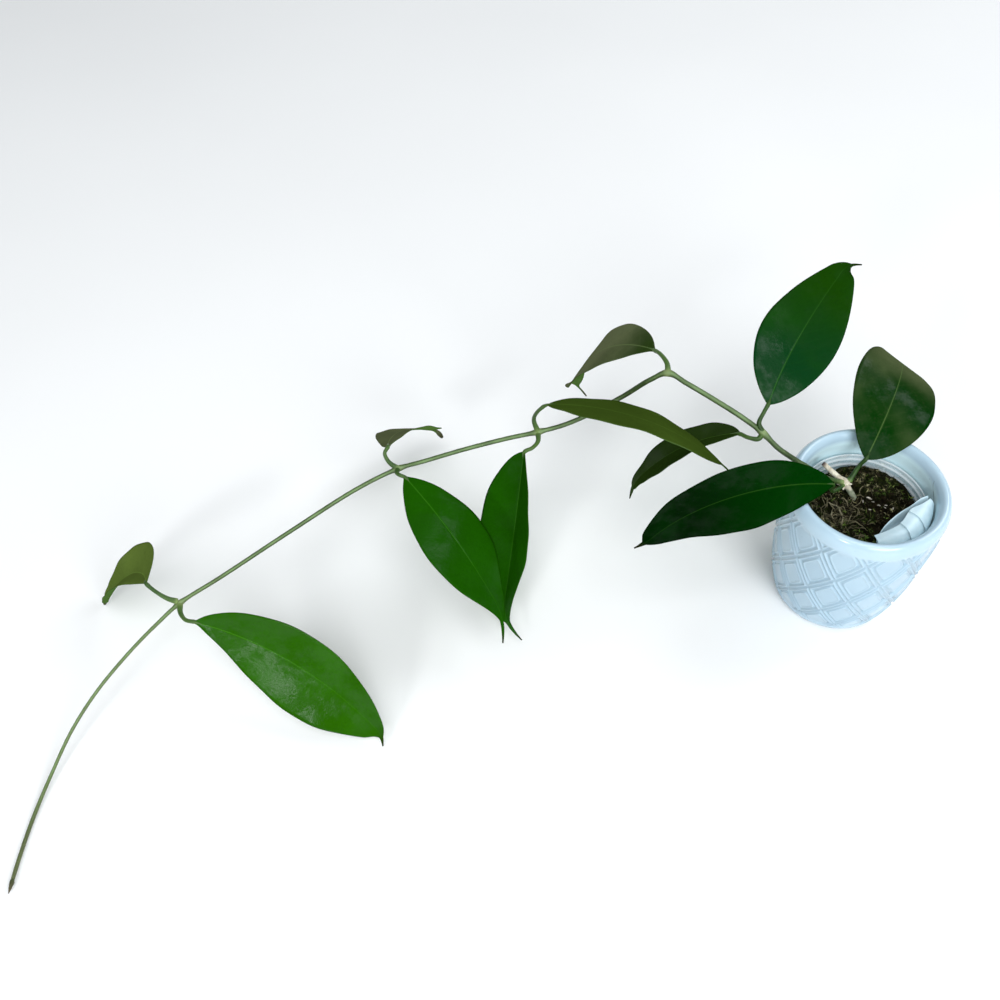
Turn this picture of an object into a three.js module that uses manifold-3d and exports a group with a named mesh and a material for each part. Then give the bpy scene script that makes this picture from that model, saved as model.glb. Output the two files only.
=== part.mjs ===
// Potted hoya: a glazed pot, a clear nursery cup of mossy soil, and one long vine that trails
// towards -X with eleven waxy leaves. Millimetres, +Z up, the pot standing on z = 0.
// The origin is the centre of the pot's flat base.
import * as THREE from 'three';
import { mergeVertices } from 'three/addons/utils/BufferGeometryUtils.js';
import Module from 'manifold-3d';

const wasm = await Module();
wasm.setup();

// ---- Driving dimensions ----

const GAP = 0.3; // between pieces that touch

// Pot
const POT_HEIGHT = 106;
const POT_FOOT_RADIUS = 34; // of the flat underside
const FOOT_ROUNDING = 4;
const POT_FLOOR = 6;
const POT_FLOOR_RADIUS = 28.5;
const LIP_INNER_RADIUS = 39.6;
const LIP_OUTER_RADIUS = 48;
const LIP_DEPTH = 8; // the lip's rounding, down from the top
const POT_OUTSIDE = [[38.2, 4], [41.6, 16], [44.8, 37], [46.6, 58], [47.8, 80], [48, 98]]; // radius, z
const POT_INSIDE = [[39.6, 98], [40.2, 84], [39.6, 60], [37.4, 36], [34, 16], [31.5, 9]];
const ROUND_SIDES = 44;

// Clear nursery cup, nested in the pot
const CUP_WALL = 0.8;
const CUP_RIM_Z = 90;
const CUP_RIM_RADIUS = 38.2;
const CUP_STEP_HEIGHT = 4; // of each stacking step under the rim
const CUP_STEP_IN = 0.9;
const CUP_STEPS = 3;
const CUP_STEP_SLOPE = 0.6; // height of each step's ledge
const CUP_FOOT_RADIUS = 26;
const CUP_FOOT_CHAMFER = [1.5, 3]; // outward, up

// Potting mix and moss
const SOIL_TOP_Z = 74;
const SOIL_CHAMFER = [2.5, 4]; // inward, up
const MOSS_EDGE = 2; // thickness where the moss is thinnest
const MOSS_MOUND = 9; // how much thicker it is at the back right
const MOUND_HEADING = 45; // degrees from +X
const MOSS_BUMP = 1;
const MOSS_EDGE_DROP = 0.8; // how much lower the moss is at the cup's wall
const MOSS_RINGS = 5;
const MOSS_SIDES = 30;

// Woody cutting and crown
const CROWN = new THREE.Vector3(-7.5, 17, 87.5);
const CROWN_RADIUS = 3.4;
const CUTTING_BURIED = [[7, 2, 50], [4.5, 6, 66], [0.6, 9.8, 77]]; // up to the crown
const CUTTING_TOP = [[-14.5, 20.6, 93], [-21.6, 24.3, 98.5]]; // from the crown to the cut end
const CUTTING_RADIUS = 1.9;
const CUT_END_RADIUS = 1.25;
const CUTTING_SIDES = 8;
const CUTTING_STEPS = 16;

// Vine: its centre line from the crown, over the pot's rim and down to the growing tip
const VINE_ROUTE = [
  [-7.5, 17, 88], [-15, 15.2, 92.5], [-22.5, 14, 97.5], [-36, 15.2, 107.5], [-44, 18.6, 111.3],
  [-53.7, 22.8, 117], [-61.7, 31.5, 121], [-73.3, 37.9, 127.6], [-91, 45.9, 136.4],
  [-107.2, 56.4, 140.9], [-117.3, 63.7, 142.5], [-127.2, 65.6, 135.2], [-142.2, 68.6, 118.2],
  [-162.5, 67.5, 104.1], [-179, 65.8, 96.3], [-195.9, 63.5, 93], [-214.7, 61.8, 90],
  [-242.8, 57.3, 86], [-270.2, 51.6, 82], [-287.3, 48.6, 79], [-313, 37.8, 74],
  [-356.6, 12.4, 64], [-399.8, -13.1, 53], [-424.6, -28.1, 48], [-438, -38, 42],
  [-454.4, -52, 34], [-474.8, -73.5, 23], [-489.7, -94.8, 12.5], [-498.9, -118.3, 5],
  [-504.9, -144.7, 1.8], [-507.1, -167.7, 1.6], [-507.6, -180, 1.9],
];
const VINE_STEPS = 96;
const VINE_SIDES = 8;
const VINE_ROOT_RADIUS = 1.8;
const VINE_TIP_RADIUS = 1.2;
const KNUCKLE_SWELL = 0.8; // extra radius where leaves join
const KNUCKLE_LENGTH = 3.5;
const NODE_RIM = [-61.7, 31.5, 121];
const NODE_ARCH = [-117.3, 63.7, 142.5];
const NODE_BEND = [-195.9, 63.5, 93];
const NODE_MIDDLE = [-287.3, 48.6, 79];
const NODE_OUTER = [-424.6, -28.1, 48];
const BUD_LENGTH = 8;
const BUD_RADIUS = 1.7;
const BUD_POINT_RADIUS = 0.25;

// Leaves
const LEAF_THICKNESS = 1.3;
const LEAF_EDGE_THICKNESS = 0.8;
const LEAF_ROWS = 16;
const LEAF_COLUMNS = 4;
const STALK_RADIUS = 1.7;
const STALK_SIDES = 8;
const STALK_STEPS = 9;
const STALK_OVERLAP = 2.5; // into the blade
const STALK_TAPER = 0.35; // of its radius, over the last fifth

// Each leaf's stalk starts at a node, passes its own points and ends at the blade's base.
// heading and rise aim the blade at its base, sweep and droop are how far it turns and falls by
// its tip, and droopPower is how late the fall comes. roll and twist bank it and fold lifts its
// sides. belly is where it is widest, which uneven moves forward on one side and back on the
// other. taper narrows its far half, tip is the length of its drip tip, and tipTurn and tipLift are
// how that tip turns. Angles are in degrees, belly, uneven and tip in parts of the length.
const LEAVES = [
  {
    name: 'leaf_crown_right',
    stalk: [[-5, 17.2, 89], [-2, 20.2, 93], [1, 22.6, 98.5]],
    base: [3.5, 23.3, 102.7], length: 123.6, width: 54,
    heading: 55.4, rise: 28.7, sweep: 16.4, droop: 108.8, droopPower: 1.61,
    roll: -5.7, twist: -24.2, fold: 0, belly: 0.464, uneven: -0.031,
    taper: 0.22, tip: 0.159, tipTurn: -1.8, tipLift: -1.5,
  },
  {
    name: 'leaf_crown_left',
    stalk: [[-9, 14.5, 88.5], [-18, 6, 94], [-23, 1.5, 102]],
    base: [-24.8, -2, 111.5], length: 133.2, width: 48.2,
    heading: 192.1, rise: 22.3, sweep: -6.6, droop: 85.7, droopPower: 1.2,
    roll: 57.3, twist: 34.5, fold: 10.9, belly: 0.536, uneven: 0.019,
    taper: -0.12, tip: 0.094, tipTurn: 5.5, tipLift: 31.5,
  },
  {
    name: 'leaf_rim_upper',
    stalk: [NODE_RIM, [-64.4, 35, 126], [-61.6, 39.4, 130.5]],
    base: [-58.7, 43.2, 133.7], length: 121.7, width: 49,
    heading: 65.9, rise: 1.7, sweep: -22.8, droop: -28.1, droopPower: 0.97,
    roll: -18.9, twist: 24.6, fold: 3.6, belly: 0.485, uneven: 0.004,
    taper: -0.12, tip: 0.098, tipTurn: -81.8, tipLift: -5.4,
  },
  {
    name: 'leaf_rim_lower',
    stalk: [NODE_RIM, [-65, 28.2, 119.6], [-70.8, 30.2, 119]],
    base: [-74.5, 35, 116.9], length: 104.7, width: 34.5,
    heading: 152.5, rise: -26.6, sweep: 29.6, droop: 42, droopPower: 0.77,
    roll: -15.7, twist: 15.4, fold: 8.2, belly: 0.432, uneven: 0.006,
    taper: -0.22, tip: 0.19, tipTurn: 39.1, tipLift: -15.9,
  },
  {
    name: 'leaf_arch_top',
    stalk: [NODE_ARCH, [-117.4, 69.4, 144.8], [-120.1, 78.4, 144]],
    base: [-122.9, 86.4, 140], length: 132.7, width: 42.8,
    heading: 126.2, rise: -20.8, sweep: 7.6, droop: 65.8, droopPower: 0.9,
    roll: 21.3, twist: -7.4, fold: 1.1, belly: 0.527, uneven: -0.046,
    taper: 0.31, tip: 0.2, tipTurn: -152.9, tipLift: 32,
  },
  {
    name: 'leaf_bend_upper',
    stalk: [NODE_BEND, [-198.5, 64.6, 102.9], [-196.7, 61.4, 114.2]],
    base: [-190.4, 57.2, 125.2], length: 126, width: 50.4,
    heading: -12.1, rise: 10.4, sweep: -27.4, droop: 36.1, droopPower: 1.21,
    roll: 29.1, twist: 8.7, fold: 0, belly: 0.439, uneven: 0.026,
    taper: -0.18, tip: 0.184, tipTurn: 13.8, tipLift: -17.6,
  },
  {
    name: 'leaf_bend_lower',
    stalk: [NODE_BEND, [-196.3, 56.5, 91.8], [-200.2, 51.6, 91.3]],
    base: [-205.2, 50, 89.5], length: 133.6, width: 51,
    heading: 250.6, rise: -67.2, sweep: 12.4, droop: -88.4, droopPower: 1.84,
    roll: -42.6, twist: 13.7, fold: 24.2, belly: 0.444, uneven: 0.016,
    taper: 0.12, tip: 0.198, tipTurn: 52.9, tipLift: -39.8,
  },
  {
    name: 'leaf_middle_front',
    stalk: [NODE_MIDDLE, [-287.6, 43.4, 81], [-285.6, 40.6, 82.2]],
    base: [-282.6, 39.9, 80.9], length: 127.3, width: 51.4,
    heading: 306.3, rise: -0.7, sweep: -0.1, droop: 47.9, droopPower: 1,
    roll: 1.7, twist: 42, fold: 0.1, belly: 0.533, uneven: 0.006,
    taper: 0.26, tip: 0.201, tipTurn: -40.9, tipLift: 19.7,
  },
  {
    name: 'leaf_middle_back',
    stalk: [NODE_MIDDLE, [-293, 51.4, 83], [-295.2, 55, 87.5]],
    base: [-293, 57.8, 90.1], length: 108.5, width: 42.1,
    heading: 93.4, rise: -28.8, sweep: -50.1, droop: 19.6, droopPower: 0.61,
    roll: 20, twist: 2.3, fold: 1, belly: 0.619, uneven: -0.008,
    taper: 0.17, tip: 0.104, tipTurn: -91.9, tipLift: 14,
  },
  {
    name: 'leaf_outer_front',
    stalk: [[-424.3, -29.9, 48.2], [-422.4, -36.4, 49.6], [-417.4, -43, 51.8]],
    base: [-411.4, -44.6, 51.8], length: 142.5, width: 57.8,
    heading: 345.5, rise: -6.1, sweep: -27.9, droop: 26.5, droopPower: 0.94,
    roll: -56.9, twist: 5.8, fold: 15.8, belly: 0.541, uneven: 0.042,
    taper: 0.04, tip: 0.072, tipTurn: -46.4, tipLift: -4.5,
  },
  {
    name: 'leaf_outer_back',
    stalk: [[-426.2, -27.6, 49.3], [-430.8, -28, 53.5], [-437, -26.4, 60]],
    base: [-441.4, -23.9, 65.3], length: 93.2, width: 40.8,
    heading: 109.3, rise: -33.2, sweep: 90.5, droop: 25.3, droopPower: 1.14,
    roll: 28.7, twist: -38.9, fold: 25.6, belly: 0.417, uneven: -0.117,
    taper: -0.24, tip: 0.082, tipTurn: 52.9, tipLift: 46.8,
  },
];

// Label: a blank strip of paper folded over on itself against the pot's wall. Its ribs run from
// its left end to its right. Each goes from the far top edge down, under, up the wall and over.
const LABEL_RIBS = [
  [
    [-1.3, -29.9, 93.6], [-0.8, -31.2, 91.4], [0, -34.2, 90.8],
    [-1, -35.2, 93.6], [-2.4, -32.8, 96], [-3.2, -29.4, 96.1],
  ],
  [
    [4.3, -23.5, 97], [5.2, -25, 90.5], [7.4, -34, 90.6],
    [7.6, -36.3, 93.8], [6.2, -31.8, 98.2], [5, -27.2, 97.7],
  ],
  [
    [13.6, -16.4, 99], [15, -18.4, 90], [17.4, -31, 90.6],
    [18.6, -33, 93.8], [15.8, -28.4, 99.8], [13.2, -23.4, 99.3],
  ],
  [
    [22.7, -11.2, 100], [24, -15, 91.5], [26.6, -24.4, 91],
    [28.8, -24.8, 94], [25, -19.6, 100.4], [20.8, -15, 100.4],
  ],
  [
    [29.5, -6.8, 100.8], [30.8, -10.8, 94], [32.6, -15.6, 92.4],
    [35, -14.6, 95], [32, -12.4, 100.2], [28.4, -11.4, 100.9],
  ],
  [
    [34, -5, 100.6], [34.8, -6.8, 97], [35.4, -8.2, 95.4],
    [36.8, -8.4, 97], [36, -7.8, 99.4], [34.8, -7, 100.4],
  ],
];
const LABEL_ROWS = 15;
const LABEL_COLUMNS = 15;
const LABEL_THICKNESS = 0.6;

// ---- Solids ----

function toSolid(geometry) {
  const bare = geometry.clone();
  bare.deleteAttribute('normal');
  bare.deleteAttribute('uv');
  const merged = mergeVertices(bare, 1e-4);
  return new wasm.Manifold(new wasm.Mesh({
    numProp: 3,
    vertProperties: Float32Array.from(merged.attributes.position.array),
    triVerts: Uint32Array.from(merged.index.array),
  }));
}

function toGeometry(solid) {
  const mesh = solid.getMesh();
  const geometry = new THREE.BufferGeometry();
  geometry.setAttribute('position', new THREE.BufferAttribute(Float32Array.from(mesh.vertProperties), 3));
  geometry.setIndex(Array.from(mesh.triVerts));
  geometry.computeVertexNormals();
  return geometry;
}

function toVectors(points) {
  return points.map((point) => (point.isVector3 ? point : new THREE.Vector3(...point)));
}

function smoothCurve(points) {
  return new THREE.CatmullRomCurve3(toVectors(points), false, 'centripetal');
}

function indexedGeometry(positions, triangles) {
  const geometry = new THREE.BufferGeometry();
  geometry.setAttribute('position', new THREE.Float32BufferAttribute(positions, 3));
  geometry.setIndex(triangles);
  geometry.computeVertexNormals();
  return geometry;
}

// A round tube along a curve whose radius changes, with a closed cap at each end.
function taperedTube(curve, radiusAt, sides, steps) {
  const frames = curve.computeFrenetFrames(steps, false);
  const positions = [];
  const triangles = [];
  for (let step = 0; step <= steps; step += 1) {
    const along = step / steps;
    const centre = curve.getPointAt(along);
    const radius = radiusAt(along, centre);
    for (let side = 0; side < sides; side += 1) {
      const angle = (2 * Math.PI * side) / sides;
      const point = centre.clone()
        .addScaledVector(frames.normals[step], radius * Math.cos(angle))
        .addScaledVector(frames.binormals[step], radius * Math.sin(angle));
      positions.push(point.x, point.y, point.z);
    }
  }
  const startCap = positions.length / 3;
  const endCap = startCap + 1;
  positions.push(...curve.getPointAt(0).toArray(), ...curve.getPointAt(1).toArray());
  for (let side = 0; side < sides; side += 1) {
    const next = (side + 1) % sides;
    for (let step = 0; step < steps; step += 1) {
      const here = step * sides;
      const ahead = here + sides;
      triangles.push(here + side, here + next, ahead + next);
      triangles.push(here + side, ahead + next, ahead + side);
    }
    const last = steps * sides;
    triangles.push(startCap, next, side);
    triangles.push(endCap, last + side, last + next);
  }
  return indexedGeometry(positions, triangles);
}

// A solid of revolution about Z from a profile of [radius, z] points that closes on the axis.
function revolve(profile) {
  const points = profile.map(([radius, z]) => new THREE.Vector2(radius, z));
  const geometry = new THREE.LatheGeometry(points, ROUND_SIDES);
  geometry.rotateX(Math.PI / 2);
  return geometry;
}

function splineProfile(points, count) {
  const curve = new THREE.SplineCurve(points.map(([radius, z]) => new THREE.Vector2(radius, z)));
  return curve.getPoints(count).map((point) => [point.x, point.y]);
}

function arcProfile(centreRadius, centreZ, radiusX, radiusZ, fromDegrees, toDegrees, count) {
  const points = [];
  for (let step = 0; step <= count; step += 1) {
    const angle = THREE.MathUtils.degToRad(fromDegrees + ((toDegrees - fromDegrees) * step) / count);
    points.push([centreRadius + radiusX * Math.cos(angle), centreZ + radiusZ * Math.sin(angle)]);
  }
  return points;
}

// ---- Pot, cup, soil ----

function potGeometry() {
  const lipMiddle = (LIP_INNER_RADIUS + LIP_OUTER_RADIUS) / 2;
  const lipHalf = (LIP_OUTER_RADIUS - LIP_INNER_RADIUS) / 2;
  return revolve([
    [0, 0],
    ...arcProfile(POT_FOOT_RADIUS, FOOT_ROUNDING, FOOT_ROUNDING, FOOT_ROUNDING, -90, 0, 3),
    ...splineProfile(POT_OUTSIDE, 7).slice(1),
    ...arcProfile(lipMiddle, POT_HEIGHT - LIP_DEPTH, lipHalf, LIP_DEPTH, 0, 180, 8).slice(1),
    ...splineProfile(POT_INSIDE, 6).slice(1),
    [POT_FLOOR_RADIUS, POT_FLOOR],
    [0, POT_FLOOR],
  ]);
}

// The cup's outline steps in under the rim, then tapers to its foot.
function cupOutline(inset) {
  const outline = [[CUP_RIM_RADIUS - inset, CUP_RIM_Z]];
  for (let step = 1; step <= CUP_STEPS; step += 1) {
    const radius = CUP_RIM_RADIUS - (step - 1) * CUP_STEP_IN - inset;
    const z = CUP_RIM_Z - step * CUP_STEP_HEIGHT;
    outline.push([radius, z + CUP_STEP_SLOPE], [radius - CUP_STEP_IN, z]);
  }
  const [chamferOut, chamferUp] = CUP_FOOT_CHAMFER;
  outline.push([CUP_FOOT_RADIUS + chamferOut - inset, POT_FLOOR + GAP + chamferUp]);
  outline.push([CUP_FOOT_RADIUS - inset, POT_FLOOR + GAP + (inset > 0 ? CUP_WALL : 0)]);
  return outline;
}

function cupGeometry() {
  const floorZ = POT_FLOOR + GAP;
  return revolve([
    [0, floorZ],
    ...cupOutline(0).reverse(),
    ...cupOutline(CUP_WALL),
    [0, floorZ + CUP_WALL],
  ]);
}

function cupInnerRadius(z) {
  const outline = cupOutline(CUP_WALL);
  for (let step = 1; step < outline.length; step += 1) {
    const [upperRadius, upperZ] = outline[step - 1];
    const [lowerRadius, lowerZ] = outline[step];
    if (z >= lowerZ) return lowerRadius + ((upperRadius - lowerRadius) * (z - lowerZ)) / (upperZ - lowerZ);
  }
  return outline[outline.length - 1][0];
}

function soilSolid(socket) {
  const bottomZ = POT_FLOOR + GAP + CUP_WALL + GAP;
  const [chamferIn, chamferUp] = SOIL_CHAMFER;
  const lowRadius = cupInnerRadius(bottomZ + chamferUp) - GAP;
  const soil = revolve([
    [0, bottomZ],
    [lowRadius - chamferIn, bottomZ],
    [lowRadius, bottomZ + chamferUp],
    [cupInnerRadius(SOIL_TOP_Z) - GAP, SOIL_TOP_Z],
    [0, SOIL_TOP_Z],
  ]);
  return toSolid(soil).subtract(socket);
}

function mossTop(x, y) {
  const heading = THREE.MathUtils.degToRad(MOUND_HEADING);
  const edge = cupInnerRadius(SOIL_TOP_Z);
  const side = (x * Math.cos(heading) + y * Math.sin(heading)) / edge;
  const mound = THREE.MathUtils.smoothstep(side, -0.4, 1.1) * MOSS_MOUND;
  const bump = MOSS_BUMP * Math.sin(x * 0.55 + 1) * Math.cos(y * 0.62 - x * 0.2);
  return SOIL_TOP_Z + GAP + MOSS_EDGE + mound + bump;
}

// A bumpy disc: rings of points over a flat underside.
function mossSolid(socket) {
  const radius = cupInnerRadius(SOIL_TOP_Z) - 2 * GAP;
  const positions = [0, 0, mossTop(0, 0)];
  const triangles = [];
  for (let ring = 1; ring <= MOSS_RINGS; ring += 1) {
    for (let side = 0; side < MOSS_SIDES; side += 1) {
      const angle = (2 * Math.PI * side) / MOSS_SIDES;
      const x = ((radius * ring) / MOSS_RINGS) * Math.cos(angle);
      const y = ((radius * ring) / MOSS_RINGS) * Math.sin(angle);
      positions.push(x, y, mossTop(x, y) - (ring === MOSS_RINGS ? MOSS_EDGE_DROP : 0));
    }
  }
  const under = positions.length / 3;
  for (let side = 0; side < MOSS_SIDES; side += 1) {
    const angle = (2 * Math.PI * side) / MOSS_SIDES;
    positions.push(radius * Math.cos(angle), radius * Math.sin(angle), SOIL_TOP_Z + GAP);
  }
  const underCentre = positions.length / 3;
  positions.push(0, 0, SOIL_TOP_Z + GAP);
  const rim = 1 + (MOSS_RINGS - 1) * MOSS_SIDES;
  for (let side = 0; side < MOSS_SIDES; side += 1) {
    const next = (side + 1) % MOSS_SIDES;
    triangles.push(0, 1 + side, 1 + next);
    for (let ring = 1; ring < MOSS_RINGS; ring += 1) {
      const inner = 1 + (ring - 1) * MOSS_SIDES;
      const outer = inner + MOSS_SIDES;
      triangles.push(inner + side, outer + side, outer + next);
      triangles.push(inner + side, outer + next, inner + next);
    }
    triangles.push(rim + side, under + side, under + next);
    triangles.push(rim + side, under + next, rim + next);
    triangles.push(underCentre, under + next, under + side);
  }
  return toSolid(indexedGeometry(positions, triangles)).subtract(socket);
}

// ---- Cutting and vine ----

function cuttingCurve(extra) {
  const [[x, y, z], ...rest] = CUTTING_BURIED;
  return smoothCurve([[x, y, z - 2 * extra], ...rest, CROWN, ...CUTTING_TOP]);
}

function cuttingSolid(extra) {
  const radiusAt = (along) => THREE.MathUtils.lerp(CUTTING_RADIUS, CUT_END_RADIUS, along ** 2) + extra;
  const stem = toSolid(taperedTube(cuttingCurve(extra), radiusAt, CUTTING_SIDES, CUTTING_STEPS));
  return stem.add(crownSolid(extra));
}

function crownSolid(extra) {
  const knob = new THREE.IcosahedronGeometry(CROWN_RADIUS + extra, 1);
  knob.scale(0.9, 0.85, 1);
  knob.translate(CROWN.x, CROWN.y, CROWN.z);
  return toSolid(knob);
}

function nearest(point, nodes) {
  return Math.min(...nodes.map((node) => point.distanceTo(node)));
}

function vineGeometry(extra) {
  const nodes = toVectors([NODE_RIM, NODE_ARCH, NODE_BEND, NODE_MIDDLE, NODE_OUTER]);
  const radiusAt = (along, centre) => {
    const swell = KNUCKLE_SWELL * Math.exp(-((nearest(centre, nodes) / KNUCKLE_LENGTH) ** 2));
    return THREE.MathUtils.lerp(VINE_ROOT_RADIUS, VINE_TIP_RADIUS, along) + swell + extra;
  };
  return taperedTube(smoothCurve(VINE_ROUTE), radiusAt, VINE_SIDES, VINE_STEPS);
}

// A pointed bud that carries the vine's line on.
function budGeometry() {
  const route = smoothCurve(VINE_ROUTE);
  const end = route.getPointAt(1);
  const direction = route.getTangentAt(1);
  const radiusAt = (along) => {
    const swell = Math.sin(Math.PI * (0.2 + 0.8 * along)) * (1 - 0.45 * along);
    return BUD_POINT_RADIUS + BUD_RADIUS * swell;
  };
  const from = end.clone().addScaledVector(direction, GAP);
  const to = end.clone().addScaledVector(direction, GAP + BUD_LENGTH);
  to.z = from.z;
  return taperedTube(new THREE.LineCurve3(from, to), radiusAt, VINE_SIDES, 6);
}

// ---- Leaves ----

function smooth(value) {
  const x = THREE.MathUtils.clamp(value, 0, 1);
  return x * x * (3 - 2 * x);
}

// How far one edge is from the midrib at a place along the blade, in parts of its greatest half
// width: a rounded body that ends in a narrow drip tip. edge is -1 or 1.
function bladeOutline(along, leaf, edge) {
  const bodyAlong = THREE.MathUtils.clamp(along / (1 - 0.55 * leaf.tip), 0, 1);
  const peak = Math.log(0.5) / Math.log(leaf.belly + edge * leaf.uneven);
  const body = Math.max(Math.sin(Math.PI * bodyAlong ** peak), 0) ** (0.76 + leaf.taper * along ** 2);
  const drip = 0.015 + 0.075 * THREE.MathUtils.clamp((1 - along) / leaf.tip, 0, 1);
  return Math.hypot(body, drip);
}

// The midrib's direction, the blade's sideways direction and its upward normal.
function bladeFrame(along, leaf) {
  const bend = smooth((along - 1 + 1.3 * leaf.tip) / (1.3 * leaf.tip));
  const heading = THREE.MathUtils.degToRad(leaf.heading + leaf.sweep * along + leaf.tipTurn * bend);
  const fall = leaf.droop * along ** leaf.droopPower;
  const rise = THREE.MathUtils.degToRad(leaf.rise - fall + leaf.tipLift * bend);
  const bank = THREE.MathUtils.degToRad(leaf.roll + leaf.twist * along);
  const forward = new THREE.Vector3(
    Math.cos(rise) * Math.cos(heading),
    Math.cos(rise) * Math.sin(heading),
    Math.sin(rise),
  );
  const level = new THREE.Vector3(Math.sin(heading), -Math.cos(heading), 0);
  const above = new THREE.Vector3().crossVectors(level, forward);
  const side = level.clone().multiplyScalar(Math.cos(bank)).addScaledVector(above, Math.sin(bank));
  const normal = level.clone().multiplyScalar(-Math.sin(bank)).addScaledVector(above, Math.cos(bank));
  return { forward, side, normal };
}

function bladeGeometry(leaf) {
  const fold = THREE.MathUtils.degToRad(leaf.fold);
  const middle = new THREE.Vector3(...leaf.base);
  const upper = [];
  const lower = [];
  let before = 0;
  for (let row = 0; row <= LEAF_ROWS; row += 1) {
    const along = 1 - (1 - row / LEAF_ROWS) ** 1.15;
    middle.addScaledVector(bladeFrame((along + before) / 2, leaf).forward, (along - before) * leaf.length);
    before = along;
    const { side, normal } = bladeFrame(along, leaf);
    for (let column = 0; column <= LEAF_COLUMNS; column += 1) {
      const across = (2 * column) / LEAF_COLUMNS - 1;
      const halfWidth = (leaf.width / 2) * bladeOutline(along, leaf, Math.sign(across));
      const half = THREE.MathUtils.lerp(LEAF_THICKNESS, LEAF_EDGE_THICKNESS, Math.abs(across)) / 2;
      const point = middle.clone()
        .addScaledVector(side, halfWidth * across * Math.cos(fold))
        .addScaledVector(normal, halfWidth * Math.abs(across) * Math.sin(fold));
      upper.push(...point.clone().addScaledVector(normal, half).toArray());
      lower.push(...point.clone().addScaledVector(normal, -half).toArray());
    }
  }
  return indexedGeometry([...upper, ...lower], sheetTriangles(LEAF_ROWS, LEAF_COLUMNS));
}

// Triangles of a closed sheet: an upper grid, a lower grid after it, and the walls between them.
// Columns run along +side and rows forward, so the upper face looks along the normal.
function sheetTriangles(rows, columns) {
  const width = columns + 1;
  const under = (rows + 1) * width;
  const triangles = [];
  const quad = (a, b, c, d) => triangles.push(a, b, c, a, c, d);
  for (let row = 0; row < rows; row += 1) {
    for (let column = 0; column < columns; column += 1) {
      const near = row * width + column;
      const far = near + width;
      quad(near, near + 1, far + 1, far);
      quad(under + near, under + far, under + far + 1, under + near + 1);
    }
    const left = row * width;
    const right = left + columns;
    quad(left, left + width, under + left + width, under + left);
    quad(right, under + right, under + right + width, right + width);
  }
  const last = rows * width;
  for (let column = 0; column < columns; column += 1) {
    quad(column, under + column, under + column + 1, column + 1);
    quad(last + column, last + column + 1, under + last + column + 1, under + last + column);
  }
  return triangles;
}

function stalkGeometry(leaf) {
  const { forward } = bladeFrame(0, leaf);
  const base = new THREE.Vector3(...leaf.base);
  const inside = base.clone().addScaledVector(forward, STALK_OVERLAP);
  const curve = smoothCurve([...leaf.stalk, base, inside]);
  const radiusAt = (along) => STALK_RADIUS * (1 - STALK_TAPER * smooth((along - 0.8) / 0.2));
  return taperedTube(curve, radiusAt, STALK_SIDES, STALK_STEPS);
}

// Blade and stalk as one solid, cut clear of the stem that it grows from.
function leafSolid(leaf, stems) {
  return toSolid(bladeGeometry(leaf)).add(toSolid(stalkGeometry(leaf))).subtract(stems);
}

// ---- Label ----

function labelGeometry() {
  const edges = LABEL_RIBS[0].map((_, edge) => smoothCurve(LABEL_RIBS.map((rib) => rib[edge])));
  const grid = [];
  for (let row = 0; row <= LABEL_ROWS; row += 1) {
    const rib = smoothCurve(edges.map((edge) => edge.getPoint(row / LABEL_ROWS)));
    grid.push(rib.getSpacedPoints(LABEL_COLUMNS));
  }
  const upper = [];
  const lower = [];
  grid.forEach((rib, row) => rib.forEach((point, column) => {
    const before = grid[Math.max(row - 1, 0)][column];
    const after = grid[Math.min(row + 1, LABEL_ROWS)][column];
    const across = rib[Math.min(column + 1, LABEL_COLUMNS)].clone().sub(rib[Math.max(column - 1, 0)]);
    const normal = across.cross(after.clone().sub(before)).normalize();
    upper.push(...point.clone().addScaledVector(normal, LABEL_THICKNESS / 2).toArray());
    lower.push(...point.clone().addScaledVector(normal, -LABEL_THICKNESS / 2).toArray());
  }));
  return indexedGeometry([...upper, ...lower], sheetTriangles(LABEL_ROWS, LABEL_COLUMNS));
}

// ---- Materials ----

const glaze = new THREE.MeshStandardMaterial({ color: 0xdbe8ee, roughness: 0.18 });
const clearPlastic = new THREE.MeshStandardMaterial({
  color: 0xdfe6e8,
  roughness: 0.2,
  transparent: true,
  opacity: 0.35,
});
const pottingMix = new THREE.MeshStandardMaterial({ color: 0x2b2118, roughness: 0.95 });
const mossGreen = new THREE.MeshStandardMaterial({ color: 0x3f431e, roughness: 0.95 });
const labelWhite = new THREE.MeshStandardMaterial({ color: 0xe6eef2, roughness: 0.5 });
const bark = new THREE.MeshStandardMaterial({ color: 0xc2b48c, roughness: 0.8 });
const stemGreen = new THREE.MeshStandardMaterial({ color: 0x6f8a45, roughness: 0.5 });
const leafGreen = new THREE.MeshStandardMaterial({ color: 0x1d4a1c, roughness: 0.35 });
const budBrown = new THREE.MeshStandardMaterial({ color: 0x55602c, roughness: 0.6 });

// ---- Assembly ----

const plant = new THREE.Group();

function place(name, geometry, material) {
  const mesh = new THREE.Mesh(geometry, material);
  mesh.name = name;
  plant.add(mesh);
}

const socket = cuttingSolid(GAP);
const vineClearance = toSolid(vineGeometry(GAP));
const stems = vineClearance.add(socket);

place('pot', potGeometry(), glaze);
place('inner_cup', cupGeometry(), clearPlastic);
place('soil', toGeometry(soilSolid(socket)), pottingMix);
place('moss', toGeometry(mossSolid(socket)), mossGreen);
place('label_strip', labelGeometry(), labelWhite);
place('cutting', toGeometry(cuttingSolid(0)), bark);
place('vine', toGeometry(toSolid(vineGeometry(0)).subtract(socket)), stemGreen);
place('tip_bud', budGeometry(), budBrown);
LEAVES.forEach((leaf) => place(leaf.name, toGeometry(leafSolid(leaf, stems)), leafGreen));

export default plant;
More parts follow.
